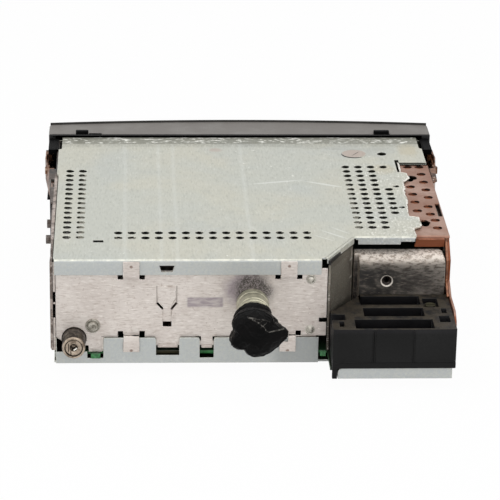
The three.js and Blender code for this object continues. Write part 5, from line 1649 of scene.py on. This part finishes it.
def add_ring(name, node, right):
    place = at(right, 0, KNOB_UP)
    outline = [
        (3.4, 165.1), (4.6, 165.1), (4.6, 174.5), (13.3, 174.5), (13.9, 174.9), (14, 175.4),
        (14, 177.9), (13.5, 178.5), (12.6, 178.6), (3.4, 178.6),
    ]
    form = spun(place, outline, segments=240, closed=True)
    flute(form, place, 13.2 * MM, RING_FLUTES, 0.18 * MM)
    return stand_for(add_piece(form, name, black), node)


knobs = [
    add_knob("fluted_tuning_knob", "tuning_knob", LEFT_SHAFT),
    add_knob("fluted_volume_knob", "volume_knob", RIGHT_SHAFT),
    add_ring("knurled_tone_ring", "tone_ring", LEFT_SHAFT),
    add_ring("knurled_balance_ring", "balance_ring", RIGHT_SHAFT),
]
print("turned", [knob.name for knob in knobs])

# %% [markdown]
# ## Numbers on the buttons and the dial
# The preset buttons are numbered, and the dial has a row of numbers with a tick for each step and a
# second, plain row under it. Text is made a mesh first, then set upright in front of its face, so
# that its place is in its mesh. Each knob and ring has a white index line, which shows how far it
# is turned.

# %% Print the numbers
PRINT_THICK = 0.00012
SUNK = 0.02
BUTTON_NUMBER_UP, BUTTON_NUMBER_SIZE = 8.5, 5
FIRST_NUMBER, NUMBER_STEP, TICKS = 131, 16.7, 4
DIAL_ROWS = (
    ("dial_number_", ("88", "92", "96", "100", "104", "108"), 4.2, 40),
    ("lower_dial_number_", ("6", "7", "8", "10", "13", "16"), 3.4, 31),
)
KNOB_LINE = (190.48, KNOB_UP + 2.4, KNOB_UP + 6.8, 0.4)
RING_LINE = (178.58, KNOB_UP + 10.9, KNOB_UP + 12.5, 0.5)
INDEX_LINES = (
    ("tuning_knob", LEFT_SHAFT, KNOB_LINE), ("volume_knob", RIGHT_SHAFT, KNOB_LINE),
    ("tone_ring", LEFT_SHAFT, RING_LINE), ("balance_ring", RIGHT_SHAFT, RING_LINE),
)


def add_number(words, name, size, right, ahead, up, node):
    """Prints a number that reads from the front, centred on a place."""
    text = bpy.data.curves.new(name, "FONT")
    text.body = words
    text.size = size * MM
    text.align_x = "CENTER"
    text.align_y = "CENTER"
    text.extrude = PRINT_THICK / 2
    draft = bpy.data.objects.new(name, text)
    bpy.context.collection.objects.link(draft)
    graph = bpy.context.evaluated_depsgraph_get()
    mesh = bpy.data.meshes.new_from_object(draft.evaluated_get(graph))
    bpy.data.objects.remove(draft)
    mesh.transform(Matrix.Translation(at(right, ahead, up)) @ Matrix.Rotation(math.radians(90), 4, "X"))
    mesh.materials.clear()
    mesh.materials.append(white)
    piece = bpy.data.objects.new(name, mesh)
    bpy.context.collection.objects.link(piece)
    return belong(piece, node)


def add_ticks(name, rights, ahead, low, high, wide, node):
    front = ahead + PRINT_THICK / MM
    rows = [(right - wide / 2, ahead, low, right + wide / 2, front, high) for right in rights]
    return belong(add_piece(blocks(bmesh.new(), *rows), name, white), node)


def print_buttons():
    prints = []
    for count in "12345":
        node = "preset_button_" + count
        low, high = [where(corner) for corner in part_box(node)]
        place = ((low[0] + high[0]) / 2, low[1] - SUNK, BUTTON_NUMBER_UP)
        prints.append(add_number(count, "number_" + count, BUTTON_NUMBER_SIZE, *place, node))
    return prints


def print_dial():
    front = where(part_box("dial_scale")[0])[1] + PRINT_THICK / MM / 2
    prints = []
    for name, numbers, size, up in DIAL_ROWS:
        for count, words in enumerate(numbers):
            place = (FIRST_NUMBER - count * NUMBER_STEP, front + SUNK, up)
            prints.append(add_number(words, name + words, size, *place, "dial_scale"))
    ticks = [FIRST_NUMBER - step * NUMBER_STEP / TICKS for step in range(5 * TICKS + 1)]
    prints.append(add_ticks("dial_ticks", ticks, front, 34.6, 36.8, 0.3, "dial_scale"))
    prints.append(add_ticks("dial_line", [89.25], front, 34.1, 34.4, 84, "dial_scale"))
    return prints


prints = print_buttons() + print_dial()
prints += [add_ticks(node + "_index", [right], *line, node) for node, right, line in INDEX_LINES]
print(len(prints), "prints on the front")

# %% [markdown]
# ## Small things at the rear
# Two ribs and a ledge break up the plain rear face of the connector block. Tabs of the circuit
# board show through the lower flange, one opening has a sill, one tongue a bent side, and the ends
# of two tongues are bent inwards a little, so they catch the light. The side clips have a barb and
# a long rib. Strips of the inner frame lie close under some of the vents, and strips of copper
# under the copper sheet's holes, so that those holes don't look into a black inside.

# %% Add the ribs, the board tab and the tongue ends
SMALL_PIECES = (
    ("block_ribs", "connector_housing", phenolic, 0.08, (140.1, -19.75, 8.2, 140.5, -19.4, 22.9),
     (157.9, -19.75, 8.2, 158.3, -19.4, 22.9), (125.6, -19.9, 7.5, 176.2, -19.4, 8)),
    ("board_tab", "main_circuit_board", board, 0.15, (17.7, -2.3, 2.7, 21.8, -1.3, 5.2),
     (118.7, -1.2, 3, 121.3, -0.4, 5.8)),
    ("opening_sill", "bottom_cover", zinc, 0.1, (46, -1.25, 2, 56.8, -0.3, 3.8)),
    ("left_clip_barb", "left_side_clip", bronze, 0.15, (-5.7, 143.5, 41.8, -2.6, 149.4, 45.3),
     (-4.9, 128, 36.4, -4.2, 149, 43.4)),
    ("right_clip_barb", "right_side_clip", bronze, 0.15, (180.6, 143.5, 41.8, 183.7, 149.4, 45.3),
     (182.2, 128, 36.4, 182.9, 149, 43.4)),
    ("tongue_side", "rear_panel", panel_tin, 0.1, (22.2, -0.45, 5.6, 23.3, 0.1, 12.4)),
    ("vent_strips", "top_cover", frame_tin, 0.1, (10.6, 22.4, 47.8, 15.4, 106, 48.1),
     (4.6, 22.4, 47.2, 9.2, 106, 47.5), (27.6, 22, 47.8, 37.4, 26.6, 48.1),
     (133.6, 29, 47.8, 138.6, 100, 48.1)),
    ("copper_strip", "copper_heat_spreader", shaded_copper, 0.1, (163.8, 28, 46.6, 175.4, 39, 46.9),
     (161.5, 50, 46.6, 175.4, 96, 46.9), (171.5, 39.2, 46.6, 175.4, 49.8, 46.9),
     (165, 108, 46.6, 175.4, 120, 46.9), (171, 96.2, 46.6, 175.4, 107.8, 46.9)),
    ("tongue_ends", "rear_panel", tin, 0.2, (47, -0.3, 7, 55.8, 0.1, 8.8),
     (66.2, -0.3, 6.8, 71, 0.1, 8.4)),
)


def add_blocks(name, node, finish, width, *rows):
    piece = add_piece(blocks(bmesh.new(), *rows), name, finish)
    return belong(round_edges(piece, width * MM), node)


small_pieces = [add_blocks(*row) for row in SMALL_PIECES]
print("added", [piece.name for piece in small_pieces])
